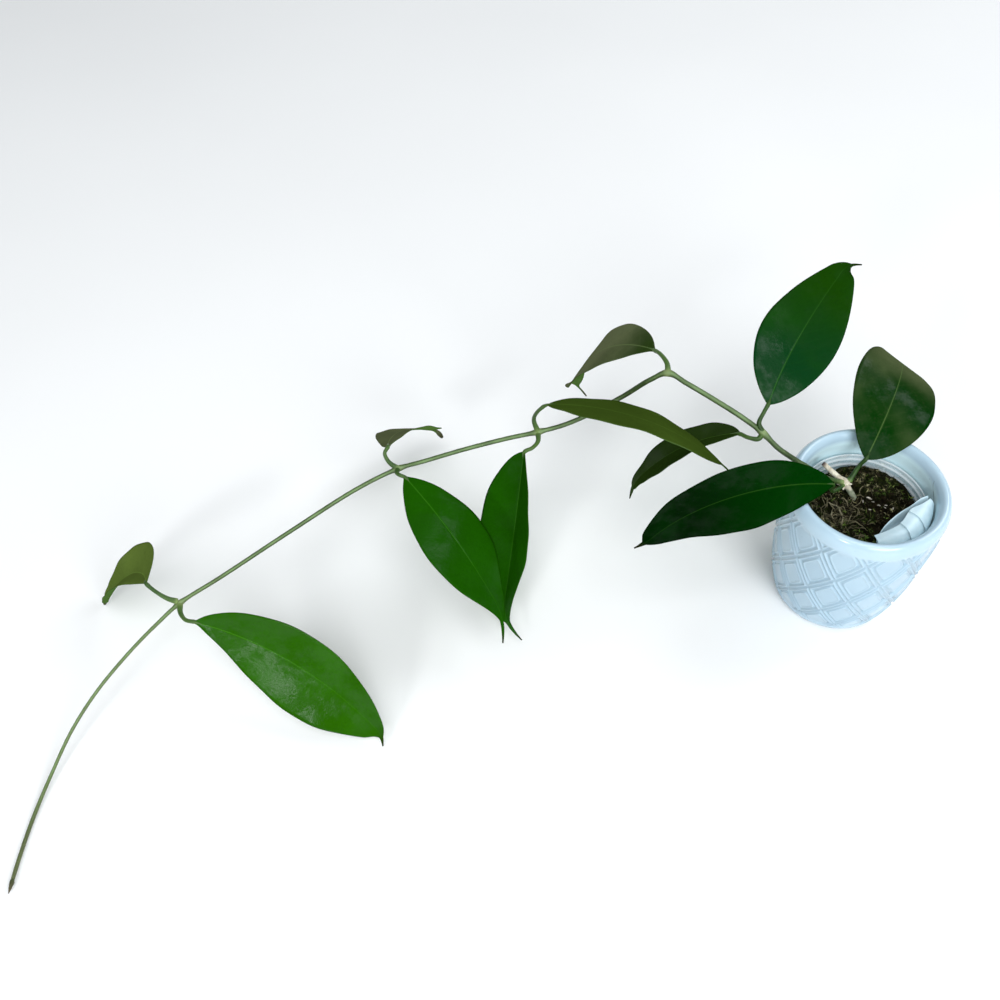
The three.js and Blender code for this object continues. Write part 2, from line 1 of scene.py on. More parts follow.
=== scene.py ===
# Looks for the potted hoya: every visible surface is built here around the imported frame.
# Shapes are worked out in millimetres in the frame's own axes and become metres in add_mesh.
import itertools
import math

import bpy
import numpy as np
from mathutils import Matrix, Vector


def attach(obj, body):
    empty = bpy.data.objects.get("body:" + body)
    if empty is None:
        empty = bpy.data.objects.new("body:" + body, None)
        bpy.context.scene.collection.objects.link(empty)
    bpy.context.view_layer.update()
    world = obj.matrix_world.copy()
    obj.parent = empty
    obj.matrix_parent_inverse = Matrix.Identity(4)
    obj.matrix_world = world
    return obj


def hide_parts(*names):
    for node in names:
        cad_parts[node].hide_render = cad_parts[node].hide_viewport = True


MM = 0.001
SEED = 11

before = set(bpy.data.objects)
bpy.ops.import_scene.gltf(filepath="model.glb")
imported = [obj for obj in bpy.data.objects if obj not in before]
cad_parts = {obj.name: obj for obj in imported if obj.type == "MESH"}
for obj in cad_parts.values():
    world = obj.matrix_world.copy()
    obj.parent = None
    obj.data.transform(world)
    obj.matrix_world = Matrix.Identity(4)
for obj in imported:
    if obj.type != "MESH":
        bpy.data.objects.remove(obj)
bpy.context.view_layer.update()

# ---- The part's own sizes, as in its CAD source (mm) ----

GAP = 0.3
POT_HEIGHT = 106
POT_FOOT_RADIUS = 34
FOOT_ROUNDING = 4
POT_FLOOR = 6
POT_FLOOR_RADIUS = 28.5
LIP_INNER_RADIUS = 39.6
LIP_OUTER_RADIUS = 48
LIP_DEPTH = 8
POT_OUTSIDE = [(38.2, 4), (41.6, 16), (44.8, 37), (46.6, 58), (47.8, 80), (48, 98)]
POT_INSIDE = [(39.6, 98), (40.2, 84), (39.6, 60), (37.4, 36), (34, 16), (31.5, 9)]

CUP_WALL = 0.8
CUP_RIM_Z = 90
CUP_RIM_RADIUS = 38.2
CUP_STEP_HEIGHT = 4
CUP_STEP_IN = 0.9
CUP_STEPS = 3
CUP_FOOT_RADIUS = 26

SOIL_TOP_Z = 74
MOSS_EDGE = 2
MOSS_MOUND = 9
MOUND_HEADING = 45
MOSS_RADIUS = 33.6

CROWN = (-7.5, 17, 87.5)
CUTTING_BURIED = [(7, 2, 50), (4.5, 6, 66), (0.6, 9.8, 77)]
CUTTING_TOP = [(-14.5, 20.6, 93), (-21.6, 24.3, 98.5)]

VINE_ROUTE = [
    (-7.5, 17, 88), (-15, 15.2, 92.5), (-22.5, 14, 97.5), (-36, 15.2, 107.5), (-44, 18.6, 111.3),
    (-53.7, 22.8, 117), (-61.7, 31.5, 121), (-73.3, 37.9, 127.6), (-91, 45.9, 136.4),
    (-107.2, 56.4, 140.9), (-117.3, 63.7, 142.5), (-127.2, 65.6, 135.2), (-142.2, 68.6, 118.2),
    (-162.5, 67.5, 104.1), (-179, 65.8, 96.3), (-195.9, 63.5, 93), (-214.7, 61.8, 90),
    (-242.8, 57.3, 86), (-270.2, 51.6, 82), (-287.3, 48.6, 79), (-313, 37.8, 74),
    (-356.6, 12.4, 64), (-399.8, -13.1, 53), (-424.6, -28.1, 48), (-438, -38, 42),
    (-454.4, -52, 34), (-474.8, -73.5, 23), (-489.7, -94.8, 12.5), (-498.9, -118.3, 5),
    (-504.9, -144.7, 1.8), (-507.1, -167.7, 1.6), (-507.6, -180, 1.9),
]
VINE_ROOT_RADIUS = 1.8
VINE_TIP_RADIUS = 1.2
KNUCKLE_SWELL = 0.8
KNUCKLE_LENGTH = 3.5
JOINTS = [VINE_ROUTE[k] for k in (6, 10, 15, 19, 23)]  # where leaves join
NODE_RIM, NODE_ARCH, NODE_BEND, NODE_MIDDLE, _ = JOINTS
BUD_LENGTH = 8

# What a leaf's numbers are, as in the CAD source, with its angles in degrees. They weren't chosen by
# hand: an optimiser found them by matching each leaf's outline in the photograph.
LEAF_NUMBERS = (
    "length width  heading rise sweep droop power  roll twist fold  belly uneven taper"
    "  tip tip_turn tip_lift"
).split()
# Its looks: the colours near the stalk, at the far end and under; turn, where near gives way to
# far; shine, how waxy it is; stem, its stalk's colour; slender, how much thinner the stalk is; and
# slim, tail and tail_power, how the blade narrows to its drip tip and how wide the tip is
LEAF_DEFAULTS = dict(
    under="pale", turn=0.55, shine=1.0, stem="light", slender=0, slim=0, tail=0.09, tail_power=1
)


def leaf_row(name, stalk, base, *numbers, **looks):
    numbers = dict(zip(LEAF_NUMBERS, itertools.chain(*numbers)))
    place = {"name": "leaf_" + name, "stalk": stalk, "base": base}
    return {**place, **LEAF_DEFAULTS, **numbers, **looks}


LEAVES = [
    leaf_row(
        "crown_right", [(-5, 17.2, 89), (-2, 20.2, 93), (1, 22.6, 98.5)], (3.5, 23.3, 102.7),
        (123.6, 54), (55.4, 28.7, 16.4, 108.8, 1.61), (-5.7, -24.2, 0),
        (0.464, -0.031, 0.22), (0.159, -1.8, -1.5),
        near="forest", far="brownish_sheen", turn=0.60, shine=0.7, stem="dark",
    ),
    leaf_row(
        "crown_left", [(-9, 14.5, 88.5), (-18, 6, 94), (-23, 1.5, 102)], (-24.8, -2, 111.5),
        (133.2, 48.2), (192.1, 22.3, -6.6, 85.7, 1.2), (57.3, 34.5, 10.9),
        (0.536, 0.019, -0.12), (0.094, 5.5, 31.5),
        near="forest", far="dark", under="dark_under", turn=0.42, shine=0.45, stem="dark",
        slender=0.4, slim=0.15, tail=0.14,
    ),
    leaf_row(
        "rim_upper", [NODE_RIM, (-64.4, 35, 126), (-61.6, 39.4, 130.5)], (-58.7, 43.2, 133.7),
        (121.7, 49), (65.9, 1.7, -22.8, -28.1, 0.97), (-18.9, 24.6, 3.6),
        (0.485, 0.004, -0.12), (0.098, -81.8, -5.4),
        near="deep", far="fresh", turn=0.5, stem="dark",
    ),
    leaf_row(
        "rim_lower", [NODE_RIM, (-65, 28.2, 119.6), (-70.8, 30.2, 119)], (-74.5, 35, 116.9),
        (104.7, 34.5), (152.5, -26.6, 29.6, 42, 0.77), (-15.7, 15.4, 8.2),
        (0.432, 0.006, -0.22), (0.19, 39.1, -15.9),
        near="dark_olive", far="dark_olive", slim=0.3, tail=0.15,
    ),
    leaf_row(
        "arch_top", [NODE_ARCH, (-117.4, 69.4, 144.8), (-120.1, 78.4, 144)], (-122.9, 86.4, 140),
        (132.7, 42.8), (126.2, -20.8, 7.6, 65.8, 0.9), (21.3, -7.4, 1.1),
        (0.527, -0.046, 0.31), (0.2, -152.9, 32),
        near="dark_olive", far="bronze_sheen", turn=0.25, tail=0.14, tail_power=0.6,
    ),
    leaf_row(
        "bend_upper", [NODE_BEND, (-198.5, 64.6, 102.9), (-196.7, 61.4, 114.2)],
        (-190.4, 57.2, 125.2),
        (126, 50.4), (-12.1, 10.4, -27.4, 36.1, 1.21), (29.1, 8.7, 0),
        (0.439, 0.026, -0.18), (0.184, 13.8, -17.6),
        near="olive", far="olive",
    ),
    leaf_row(
        "bend_lower", [NODE_BEND, (-196.3, 56.5, 91.8), (-200.2, 51.6, 91.3)], (-205.2, 50, 89.5),
        (133.6, 51), (250.6, -67.2, 12.4, -88.4, 1.84), (-42.6, 13.7, 24.2),
        (0.444, 0.016, 0.12), (0.198, 52.9, -39.8),
        near="mid", far="mid",
    ),
    leaf_row(
        "middle_front", [NODE_MIDDLE, (-287.6, 43.4, 81), (-285.6, 40.6, 82.2)],
        (-282.6, 39.9, 80.9),
        (127.3, 51.4), (306.3, -0.7, -0.1, 47.9, 1), (1.7, 42, 0.1),
        (0.533, 0.006, 0.26), (0.201, -40.9, 19.7),
        near="mid", far="mid", shine=0.6,
    ),
    leaf_row(
        "middle_back", [NODE_MIDDLE, (-293, 51.4, 83), (-295.2, 55, 87.5)], (-293, 57.8, 90.1),
        (108.5, 42.1), (93.4, -28.8, -50.1, 19.6, 0.61), (20, 2.3, 1),
        (0.619, -0.008, 0.17), (0.104, -91.9, 14),
        near="brownish_sheen", far="brownish_sheen", slim=0.9, tail=0.19, tail_power=0.5,
    ),
    leaf_row(
        "outer_front", [(-424.3, -29.9, 48.2), (-422.4, -36.4, 49.6), (-417.4, -43, 51.8)],
        (-411.4, -44.6, 51.8),
        (142.5, 57.8), (345.5, -6.1, -27.9, 26.5, 0.94), (-56.9, 5.8, 15.8),
        (0.541, 0.042, 0.04), (0.072, -46.4, -4.5),
        near="bright", far="bright",
    ),
    leaf_row(
        "outer_back", [(-426.2, -27.6, 49.3), (-430.8, -28, 53.5), (-437, -26.4, 60)],
        (-441.4, -23.9, 65.3),
        (93.2, 40.8), (109.3, -33.2, 90.5, 25.3, 1.14), (28.7, -38.9, 25.6),
        (0.417, -0.117, -0.24), (0.082, 52.9, 46.8),
        near="grey_green_sheen", far="grey_green_sheen", tail=0.12, tail_power=0.4,
    ),
]

# Cross sections of the folded label strip, one after another along it
LABEL_RIBS = [
    [
        (-1.3, -29.9, 93.6), (-0.8, -31.2, 91.4), (0, -34.2, 90.8),
        (-1, -35.2, 93.6), (-2.4, -32.8, 96), (-3.2, -29.4, 96.1),
    ],
    [
        (4.3, -23.5, 97), (5.2, -25, 90.5), (7.4, -34, 90.6),
        (7.6, -36.3, 93.8), (6.2, -31.8, 98.2), (5, -27.2, 97.7),
    ],
    [
        (13.6, -16.4, 99), (15, -18.4, 90), (17.4, -31, 90.6),
        (18.6, -33, 93.8), (15.8, -28.4, 99.8), (13.2, -23.4, 99.3),
    ],
    [
        (22.7, -11.2, 100), (24, -15, 91.5), (26.6, -24.4, 91),
        (28.8, -24.8, 94), (25, -19.6, 100.4), (20.8, -15, 100.4),
    ],
    [
        (29.5, -6.8, 100.8), (30.8, -10.8, 94), (32.6, -15.6, 92.4),
        (35, -14.6, 95), (32, -12.4, 100.2), (28.4, -11.4, 100.9),
    ],
    [
        (34, -5, 100.6), (34.8, -6.8, 97), (35.4, -8.2, 95.4),
        (36.8, -8.4, 97), (36, -7.8, 99.4), (34.8, -7, 100.4),
    ],
]

# Colours as linear red, green, blue
MOSS_GREENS = [(0.052, 0.080, 0.016), (0.095, 0.115, 0.034), (0.032, 0.056, 0.011)]
MOSS_BROWNS = [(0.080, 0.074, 0.036), (0.125, 0.118, 0.066), (0.046, 0.041, 0.019)]
FIBRE_COLOUR = (0.125, 0.112, 0.066)
DRIED_COLOUR = (0.30, 0.27, 0.18)
GRIT_COLOUR = (0.62, 0.58, 0.50)
CRUMB_COLOUR = (0.022, 0.016, 0.009)
MOSS_CLUMPS = 420
CLUMP_RADIUS = 2.4
MOSS_TUFTS = 5200
MOSS_FIBRES = 95
MOSS_CRUMBS = 230
GRIT_SPOTS = [
    (7.2, 9.8), (8.2, 8.6), (9.5, 6.6), (12.6, 4.1), (16.9, 3.9), (16.2, 2.6), (20.3, 0.7),
    (7.3, 2.8), (3.6, 7.6),
]
# Dried strips that lie on the moss: the places they pass over, and half their width
DRIED_STRIPS = [
    ([(-17.5, 9), (-14.2, 7.2), (-12.1, 5.7), (-11.1, 1.7), (-11, -2.9), (-12.7, -7.4)], 0.55),
    ([(-15.5, 4.3), (-16.8, 1.2), (-17.5, -1.8), (-15.4, -5.8)], 0.45),
]

# Where the strip laps over itself: from and to along it, and how far outside its middle surface
LABEL_TURNS = [(0.38, 0.97, -0.34), (0.56, 0.97, -0.68)]
LABEL_HALF = 0.15  # half the paper's thickness, a little more than the real one
LABEL_COLUMNS = 90

# The brownish, bronze and grey-green colours are painted sheen: the grey-brown reflection of leaves
# seen at a grazing angle, put into their colour.
LEAF_COLOURS = {
    "deep": (0.0030, 0.037, 0.0080),
    "fresh": (0.0075, 0.046, 0.0010),
    "bronze_sheen": (0.1500, 0.170, 0.0850),
    "forest": (0.0004, 0.025, 0.0006),
    "dark": (0.0003, 0.0065, 0.0003),
    "mid": (0.0080, 0.067, 0.0005),
    "bright": (0.0160, 0.090, 0.0004),
    "olive": (0.0400, 0.073, 0.0090),
    "dark_olive": (0.0200, 0.044, 0.0060),
    "brownish_sheen": (0.0980, 0.115, 0.0530),
    "grey_green_sheen": (0.1050, 0.160, 0.0300),
    "pale": (0.0700, 0.140, 0.0300),
    "dark_under": (0.0080, 0.050, 0.0060),
}


# ---- Curves and meshes ----

def smoothstep(low, high, x):
    t = np.clip((np.asarray(x, float) - low) / (high - low), 0, 1)
    return t * t * (3 - 2 * t)


def bell(x, width):
    return np.exp(-((x / width) ** 2))


def hump(x, y, centre, spread):
    """1 at the centre, dying away over a spread in x and in y."""
    return np.exp(-(((x - centre[0]) / spread[0]) ** 2 + ((y - centre[1]) / spread[1]) ** 2))


def catmull(points, per_span=24):
    """The centripetal Catmull-Rom curve through the points, as closely spaced positions."""
    p = np.asarray(points, float)
    p = np.vstack([2 * p[0] - p[1], p, 2 * p[-1] - p[-2]])
    t = np.linspace(0, 1, per_span, endpoint=False)[:, None]
    out = []
    for k in range(1, len(p) - 2):
        a, b, c, d = p[k - 1 : k + 3]
        ab, bc, cd = (max(np.linalg.norm(v) ** 0.5, 1e-4) for v in (b - a, c - b, d - c))
        start = ((b - a) / ab - (c - a) / (ab + bc) + (c - b) / bc) * bc
        end = ((c - b) / bc - (d - b) / (bc + cd) + (d - c) / cd) * bc
        square = 3 * c - 3 * b - 2 * start - end
        cube = 2 * b - 2 * c + start + end
        out.append(b + start * t + square * t**2 + cube * t**3)
    return np.vstack(out + [p[-2][None]])


def resample(line, count):
    """count points spaced evenly along a polyline, and the length up to each."""
    steps = np.r_[0, np.cumsum(np.linalg.norm(np.diff(line, axis=0), axis=1))]
    s = np.linspace(0, steps[-1], count)
    return np.stack([np.interp(s, steps, line[:, k]) for k in range(line.shape[1])], 1), s


def carried_frames(line):
    """Two directions across the line at each point that don't spin round it."""
    t = np.gradient(line, axis=0)
    t = t / np.linalg.norm(t, axis=1)[:, None]
    first = np.cross(t[0], (0.0, 0.0, 1.0))
    if np.linalg.norm(first) < 0.1:
        first = np.cross(t[0], (1.0, 0.0, 0.0))
    u = [first / np.linalg.norm(first)]
    for k in range(1, len(line)):
        v = u[-1] - t[k] * (u[-1] @ t[k])
        u.append(v / np.linalg.norm(v))
    u = np.array(u)
    return u, np.cross(t, u)


def add_mesh(name, vertices, faces, material, node=None, smooth=True):
    """A named piece from vertices in millimetres. It stands for node, if one is given."""
    mesh = bpy.data.meshes.new(name)
    places = (np.asarray(vertices, float) * MM).tolist()
    mesh.from_pydata(places, [], [list(map(int, face)) for face in faces])
    mesh.update()
    mesh.polygons.foreach_set("use_smooth", [smooth] * len(mesh.polygons))
    piece = bpy.data.objects.new(name, mesh)
    bpy.context.scene.collection.objects.link(piece)
    for one in material if isinstance(material, list) else [material]:
        mesh.materials.append(one)
    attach(piece, "root")
    if node:
        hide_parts(node)
    return piece


def paint(piece, name, values):
    """A colour attribute from one number, or a row of three, for each vertex."""
    values = np.asarray(values, float)
    if values.ndim == 1:
        values = np.stack([values] * 3, 1)
    layer = piece.data.color_attributes.new(name, "FLOAT_COLOR", "POINT")
    colours = np.c_[values, np.ones(len(values))].astype(np.float32)
    layer.data.foreach_set("color", colours.ravel())


def tube_faces(steps, sides):
    """Faces of a closed tube of steps + 1 rings, whose two end points follow the rings."""
    faces = []
    last = steps * sides
    start = last + sides
    end = start + 1
    for j in range(sides):
        n = (j + 1) % sides
        for a in range(0, last, sides):
            faces.append((a + j, a + n, a + sides + n, a + sides + j))
        faces.append((start, n, j))
        faces.append((end, last + j, last + n))
    return faces


def tube(line, radii, sides, flutes=0, depth=0.0):
    """Vertices and faces of a closed tube along a line; flutes are shallow grooves along it."""
    u, v = carried_frames(line)
    angle = np.arange(sides) * 2 * np.pi / sides
    r = np.asarray(radii)[:, None] * (1 + depth * np.cos(flutes * angle)[None, :])
    out = np.cos(angle)[:, None] * u[:, None] + np.sin(angle)[:, None] * v[:, None]
    ring = line[:, None] + r[..., None] * out
    points = np.vstack([ring.reshape(-1, 3), line[:1], line[-1:]])
    return points, tube_faces(len(line) - 1, sides)


def merge(parts):
    """One list of vertices and faces from several."""
    vertices, faces, count = [], [], 0
    for points, some in parts:
        vertices.append(np.asarray(points, float))
        faces += [tuple(i + count for i in face) for face in some]
        count += len(points)
    return np.vstack(vertices), faces


def revolve(profile, sides, shape=None):
    """A closed solid of revolution whose profile starts and ends on the axis."""
    profile = np.asarray(profile, float)
    angle = np.arange(sides) * 2 * np.pi / sides
    middle = profile[1:-1]
    radius = np.repeat(middle[:, :1], sides, 1)
    if shape is not None:
        radius = radius + shape(middle, angle)
    height = np.repeat(middle[:, 1:], sides, 1)
    ring = np.stack([radius * np.cos(angle), radius * np.sin(angle), height], -1)
    ends = [(0, 0, profile[0, 1]), (0, 0, profile[-1, 1])]
    return np.vstack([ring.reshape(-1, 3), ends]), tube_faces(len(middle) - 1, sides)


def add_painted(name, bits, material, smooth=True):
    """One piece from many bits, each given as its vertices, its faces and its colour."""
    points, faces = merge([bit[:2] for bit in bits])
    piece = add_mesh(name, points, faces, material, None, smooth)
    paint(piece, "tint", np.vstack([np.tile(tint, (len(some), 1)) for some, _, tint in bits]))


# ---- Material helpers ----

def wire(tree, node, key, value):
    """Link an input to a socket, or set it to a number, a colour or a vector."""
    if isinstance(value, bpy.types.NodeSocket):
        tree.links.new(value, node.inputs[key])
    else:
        node.inputs[key].default_value = value


def add_node(tree, kind, settings, inputs):
    node = tree.nodes.new(kind)
    for key, value in settings.items():
        setattr(node, key, value)
    for key, value in inputs.items():
        wire(tree, node, key, value)
    return node


def maths(tree, operation, a, b, c=0.0):
    return add_node(tree, "ShaderNodeMath", {"operation": operation}, {0: a, 1: b, 2: c}).outputs[0]


def ramp(tree, value, low, high, to_low=0.0, to_high=1.0):
    inputs = {0: value, 1: low, 2: high, 3: to_low, 4: to_high}
    smooth = {"interpolation_type": "SMOOTHSTEP"}
    return add_node(tree, "ShaderNodeMapRange", smooth, inputs).outputs[0]


def mix(tree, share, a, b, blend="MIX"):
    a, b = ((*colour, 1) if isinstance(colour, tuple) else colour for colour in (a, b))
    settings = {"data_type": "RGBA", "blend_type": blend}
    return add_node(tree, "ShaderNodeMix", settings, {0: share, 6: a, 7: b}).outputs[2]


def place(tree):
    return tree.nodes.new("ShaderNodeTexCoord").outputs["Object"]


def noise(tree, scale, detail, roughness=0.5, vector=None):
    inputs = {"Scale": scale, "Detail": detail, "Roughness": roughness}
    inputs["Vector"] = vector or place(tree)
    return add_node(tree, "ShaderNodeTexNoise", {}, inputs).outputs[0]


def bump(tree, height, strength, distance):
    inputs = {"Strength": strength, "Distance": distance, "Height": height}
    return add_node(tree, "ShaderNodeBump", {}, inputs).outputs[0]


def painted_colour(tree, name):
    return add_node(tree, "ShaderNodeAttribute", {"attribute_name": name}, {}).outputs["Color"]


def painted(tree, name):
    """The three numbers of a painted attribute."""
    return add_node(tree, "ShaderNodeSeparateColor", {}, {0: painted_colour(tree, name)}).outputs


def new_material(name):
    material = bpy.data.materials.new(name)
    material.use_nodes = True
    return material, material.node_tree


def surface(material, **inputs):
    """The material, with its shader's own inputs linked or set: Base_Color is Base Color."""
    tree = material.node_tree
    for key, value in inputs.items():
        wire(tree, tree.nodes["Principled BSDF"], key.replace("_", " "), value)
    return material


# ---- Materials ----

def glaze_material():
    material, tree = new_material("glaze")
    cloud = ramp(tree, noise(tree, 22, 4), 0.35, 0.7)
    colour = mix(tree, cloud, (0.41, 0.56, 0.67), (0.45, 0.60, 0.70))
    # painted shade: darker in the hollows of the embossed relief
    painted_hollow_shade = mix(tree, 0.5, colour, (0.22, 0.34, 0.43))
    colour = mix(tree, painted(tree, "relief")[0], painted_hollow_shade, colour)
    # painted light: paler on the inner wall, from the inside attribute
    colour = mix(tree, painted(tree, "inside")[0], colour, (0.72, 0.94, 1.0))
    speck = maths(tree, "MULTIPLY", ramp(tree, noise(tree, 420, 1), 0.76, 0.80), 0.35)
    return surface(
        material,
        Base_Color=mix(tree, speck, colour, (0.25, 0.32, 0.38)),
        Roughness=ramp(tree, noise(tree, 60, 2), 0.3, 0.7, 0.16, 0.26),
        Coat_Weight=0.25,
        Coat_Roughness=0.08,
        Normal=bump(tree, noise(tree, 160, 2), 0.12, 0.0004),
    )


def clear_material():
    material, tree = new_material("clear_plastic")
    smear = ramp(tree, noise(tree, 90, 5, 0.7), 0.45, 0.75)
    # painted highlight along the rim and the step corners, from the edge attribute
    edge = painted(tree, "edge")[0]
    colour = mix(tree, smear, (0.66, 0.80, 0.86), (0.60, 0.62, 0.54))
    smeared = ramp(tree, smear, 0, 1, 0.26, 0.70)
    return surface(
        material,
        Base_Color=mix(tree, edge, colour, (0.92, 0.97, 1.0)),
        Alpha=maths(tree, "MAXIMUM", smeared, maths(tree, "MULTIPLY", edge, 0.55)),
        Roughness=ramp(tree, smear, 0, 1, 0.08, 0.4),
    )


def grained_material(name, grain, span, dark, light, **inputs):
    """A colour that drifts from dark to light with a noise; grain is its scale and detail."""
    material, tree = new_material(name)
    height = noise(tree, *grain)
    inputs["Base_Color"] = mix(tree, ramp(tree, height, *span), dark, light)
    if "Normal" in inputs:  # given as the strength and depth of its bumps
        inputs["Normal"] = bump(tree, height, *inputs["Normal"])
    return surface(material, **inputs)


def moss_bed_material():
    material, tree = new_material("moss_bed")
    green = ramp(tree, noise(tree, 55, 3, 0.6), 0.4, 0.62)
    grain = noise(tree, 420, 5, 0.75)
    # painted shade: the bed is kept nearly black, for the shade in the gaps between the tufts
    dark = mix(tree, green, (0.004, 0.003, 0.002), (0.005, 0.007, 0.002))
    light = mix(tree, green, (0.022, 0.016, 0.007), (0.022, 0.030, 0.006))
    return surface(
        material,
        Base_Color=mix(tree, ramp(tree, grain, 0.4, 0.68), dark, light),
        Roughness=0.95,
        Specular_IOR_Level=0.03,
        Normal=bump(tree, grain, 1.0, 0.0015),
    )


def strand_material(name, roughness=0.8):
    """Small plant matter whose colour is painted strand by strand."""
    material, tree = new_material(name)
    fleck = ramp(tree, noise(tree, 900, 2), 0.3, 0.75)
    shade = mix(tree, fleck, (0.625, 0.61, 0.6), (1.0, 1.0, 1.0))
    return surface(
        material,
        Base_Color=mix(tree, 1.0, painted_colour(tree, "tint"), shade, "MULTIPLY"),
        Roughness=roughness,
        Specular_IOR_Level=0.06,
    )


def bark_material():
    """Old wood, streaked along its length: grey low down, cream above, dark at the cut end."""
    material, tree = new_material("bark")
    upper, cut, _ = painted(tree, "zone")
    drawn_out = {"Vector": place(tree), "Scale": (300, 300, 90)}
    streak = noise(tree, 1, 5, 0.65, add_node(tree, "ShaderNodeMapping", {}, drawn_out).outputs[0])
    light = ramp(tree, streak, 0.35, 0.7)
    grey = mix(tree, light, (0.13, 0.15, 0.095), (0.32, 0.34, 0.24))
    cream = mix(tree, light, (0.44, 0.38, 0.29), (0.80, 0.77, 0.62))
    return surface(
        material,
        Base_Color=mix(tree, cut, mix(tree, upper, grey, cream), (0.075, 0.045, 0.040)),
        Roughness=0.75,
        Normal=bump(tree, streak, 0.7, 0.0005),
    )


def stem_material(name, dark, light, node_tint):
    """Green stem, flecked: pale where leaves join, brown at its end, and paler along a streak that
    is a painted highlight.
    """
    material, tree = new_material(name)
    pale, brown, streak = painted(tree, "zone")
    fleck = noise(tree, 700, 4, 0.6)
    colour = mix(tree, ramp(tree, noise(tree, 70, 2), 0.35, 0.65), dark, light)
    for share, tint in (
        (maths(tree, "MULTIPLY", ramp(tree, fleck, 0.55, 0.75), 0.45), node_tint),
        (pale, node_tint),
        (brown, (0.07, 0.045, 0.02)),
        # painted highlight: the paler streak along the stem
        (maths(tree, "MULTIPLY", streak, 0.85), (0.18, 0.28, 0.11)),
    ):
        colour = mix(tree, share, colour, tint)
    return surface(
        material,
        Base_Color=colour,
        Roughness=0.42,
        Specular_IOR_Level=0.3,
        Subsurface_Weight=0.05,
        Subsurface_Radius=(0.001, 0.002, 0.0005),
        Normal=bump(tree, fleck, 0.4, 0.0003),
    )


def leaf_material(name, near, far, upper, turn=0.55, shine=1.0):
    """A waxy blade, painted with how far its margin is, the place along, the midrib and veins."""
    material, tree = new_material(name)
    margin, along, rib = painted(tree, "blade")
    vein = painted(tree, "veins")[0]
    patch = noise(tree, 26, 3)
    grain = noise(tree, 520, 3)
    middle = (np.array(near) + np.array(far)) / 2

    def tint(share, more=(0, 0, 0)):
        return tuple(middle * share + more)

    drift = maths(tree, "MULTIPLY_ADD", patch, 0.5, maths(tree, "SUBTRACT", along, 0.25))
    colour = mix(tree, ramp(tree, drift, turn - 0.3, turn + 0.3), near, far)
    for share, over in (
        (ramp(tree, patch, 0.40, 0.72, 0.0, 0.45), tint(1.45)),
        (maths(tree, "MULTIPLY", ramp(tree, grain, 0.5, 0.75), 0.25), tint(0.65)),
        (maths(tree, "MULTIPLY", vein, 0.07 if upper else 0.45), tint(1.5, (0.006, 0.014, 0.002))),
        (
            maths(tree, "MULTIPLY", rib, 0.5),
            tint(1.8, (0.030, 0.075, 0.010)) if upper else tint(1.9, (0.05, 0.07, 0.02)),
        ),
        (ramp(tree, margin, 0.0, 0.04, 0.5, 0.0), tint(0.4, (0.004, 0.002, 0.001))),
        (ramp(tree, along, 0.93, 1.0, 0.0, 0.75), (0.020, 0.014, 0.006)),
    ):
        colour = mix(tree, share, colour, over)
    # the wax shines where it faces the eye and stays dull where it is seen along its surface
    facing = tree.nodes.new("ShaderNodeLayerWeight").outputs["Facing"]
    wax = ramp(tree, noise(tree, 46, 7, 0.72), 0.44, 0.60, 0.15 * shine, shine)
    roughness = (0.15, 0.27) if upper else (0.5, 0.62)
    return surface(
        material,
        Base_Color=colour,
        Roughness=ramp(tree, patch, 0.3, 0.7, *roughness),
        Specular_IOR_Level=maths(tree, "MULTIPLY", ramp(tree, facing, 0.30, 0.60, 0.09, 0.0), wax),
        Normal=bump(tree, maths(tree, "MULTIPLY_ADD", grain, 0.35, patch), 0.45, 0.0006),
    )


def upper_look(leaf):
    near, far = (LEAF_COLOURS[leaf[end]] for end in ("near", "far"))
    return leaf_material(leaf["name"] + "_top", near, far, True, leaf["turn"], leaf["shine"])


strands_look = strand_material("moss_strands")
stem_colours = {  # dark, light and at the joints
    "vine_green": [(0.026, 0.050, 0.012), (0.050, 0.088, 0.024), (0.240, 0.300, 0.120)],
    "stalk_light": [(0.030, 0.075, 0.012), (0.065, 0.130, 0.026), (0.200, 0.280, 0.090)],
    "stalk_dark": [(0.010, 0.036, 0.004), (0.030, 0.078, 0.010), (0.110, 0.190, 0.045)],
}
stem_looks = {name: stem_material(name, *colours) for name, colours in stem_colours.items()}
under_looks = {
    name: leaf_material("leaf_" + name, LEAF_COLOURS[name], LEAF_COLOURS[name], False)
    for name in ("pale", "dark_under")
}


# ---- Pot ----

LATTICE_TURN = -102.0  # degrees, where a crossing of the top row stands
LATTICE_PITCH = 360 / 11
LATTICE_SPACING = 22.1  # between neighbouring bands
LATTICE_TOP = 88  # height of the top row's crossings
ROW_HEIGHT = 22.5  # of the top row, and each row below it is less by
ROW_SHRINK = 1.5
BAND_RIDGE = 1.5  # from the middle of a band out to its ridges
LOOP_RIDGE = 4.3  # from there to the ridge round each diamond
LOOP_HEIGHT = 0.86
TILE_HEIGHT = 0.42  # of the flat middle of each diamond
TILE_EDGE = (3.9, 4.7)
RIDGE_WIDTH = 0.62
CORNER = 0.9  # how round a diamond's corners are
RELIEF = 1.15  # depth of the embossing
RELIEF_TOP = (97.5, 92.5)  # heights where it fades out
RELIEF_FOOT = (3.5, 8)
POT_SIDES = 540
POT_ROWS = 210
POT_BASE = [(0, 0), (18, 0), (30, 0)]
FOOT_ROWS = 12
LIP_ROWS = 36


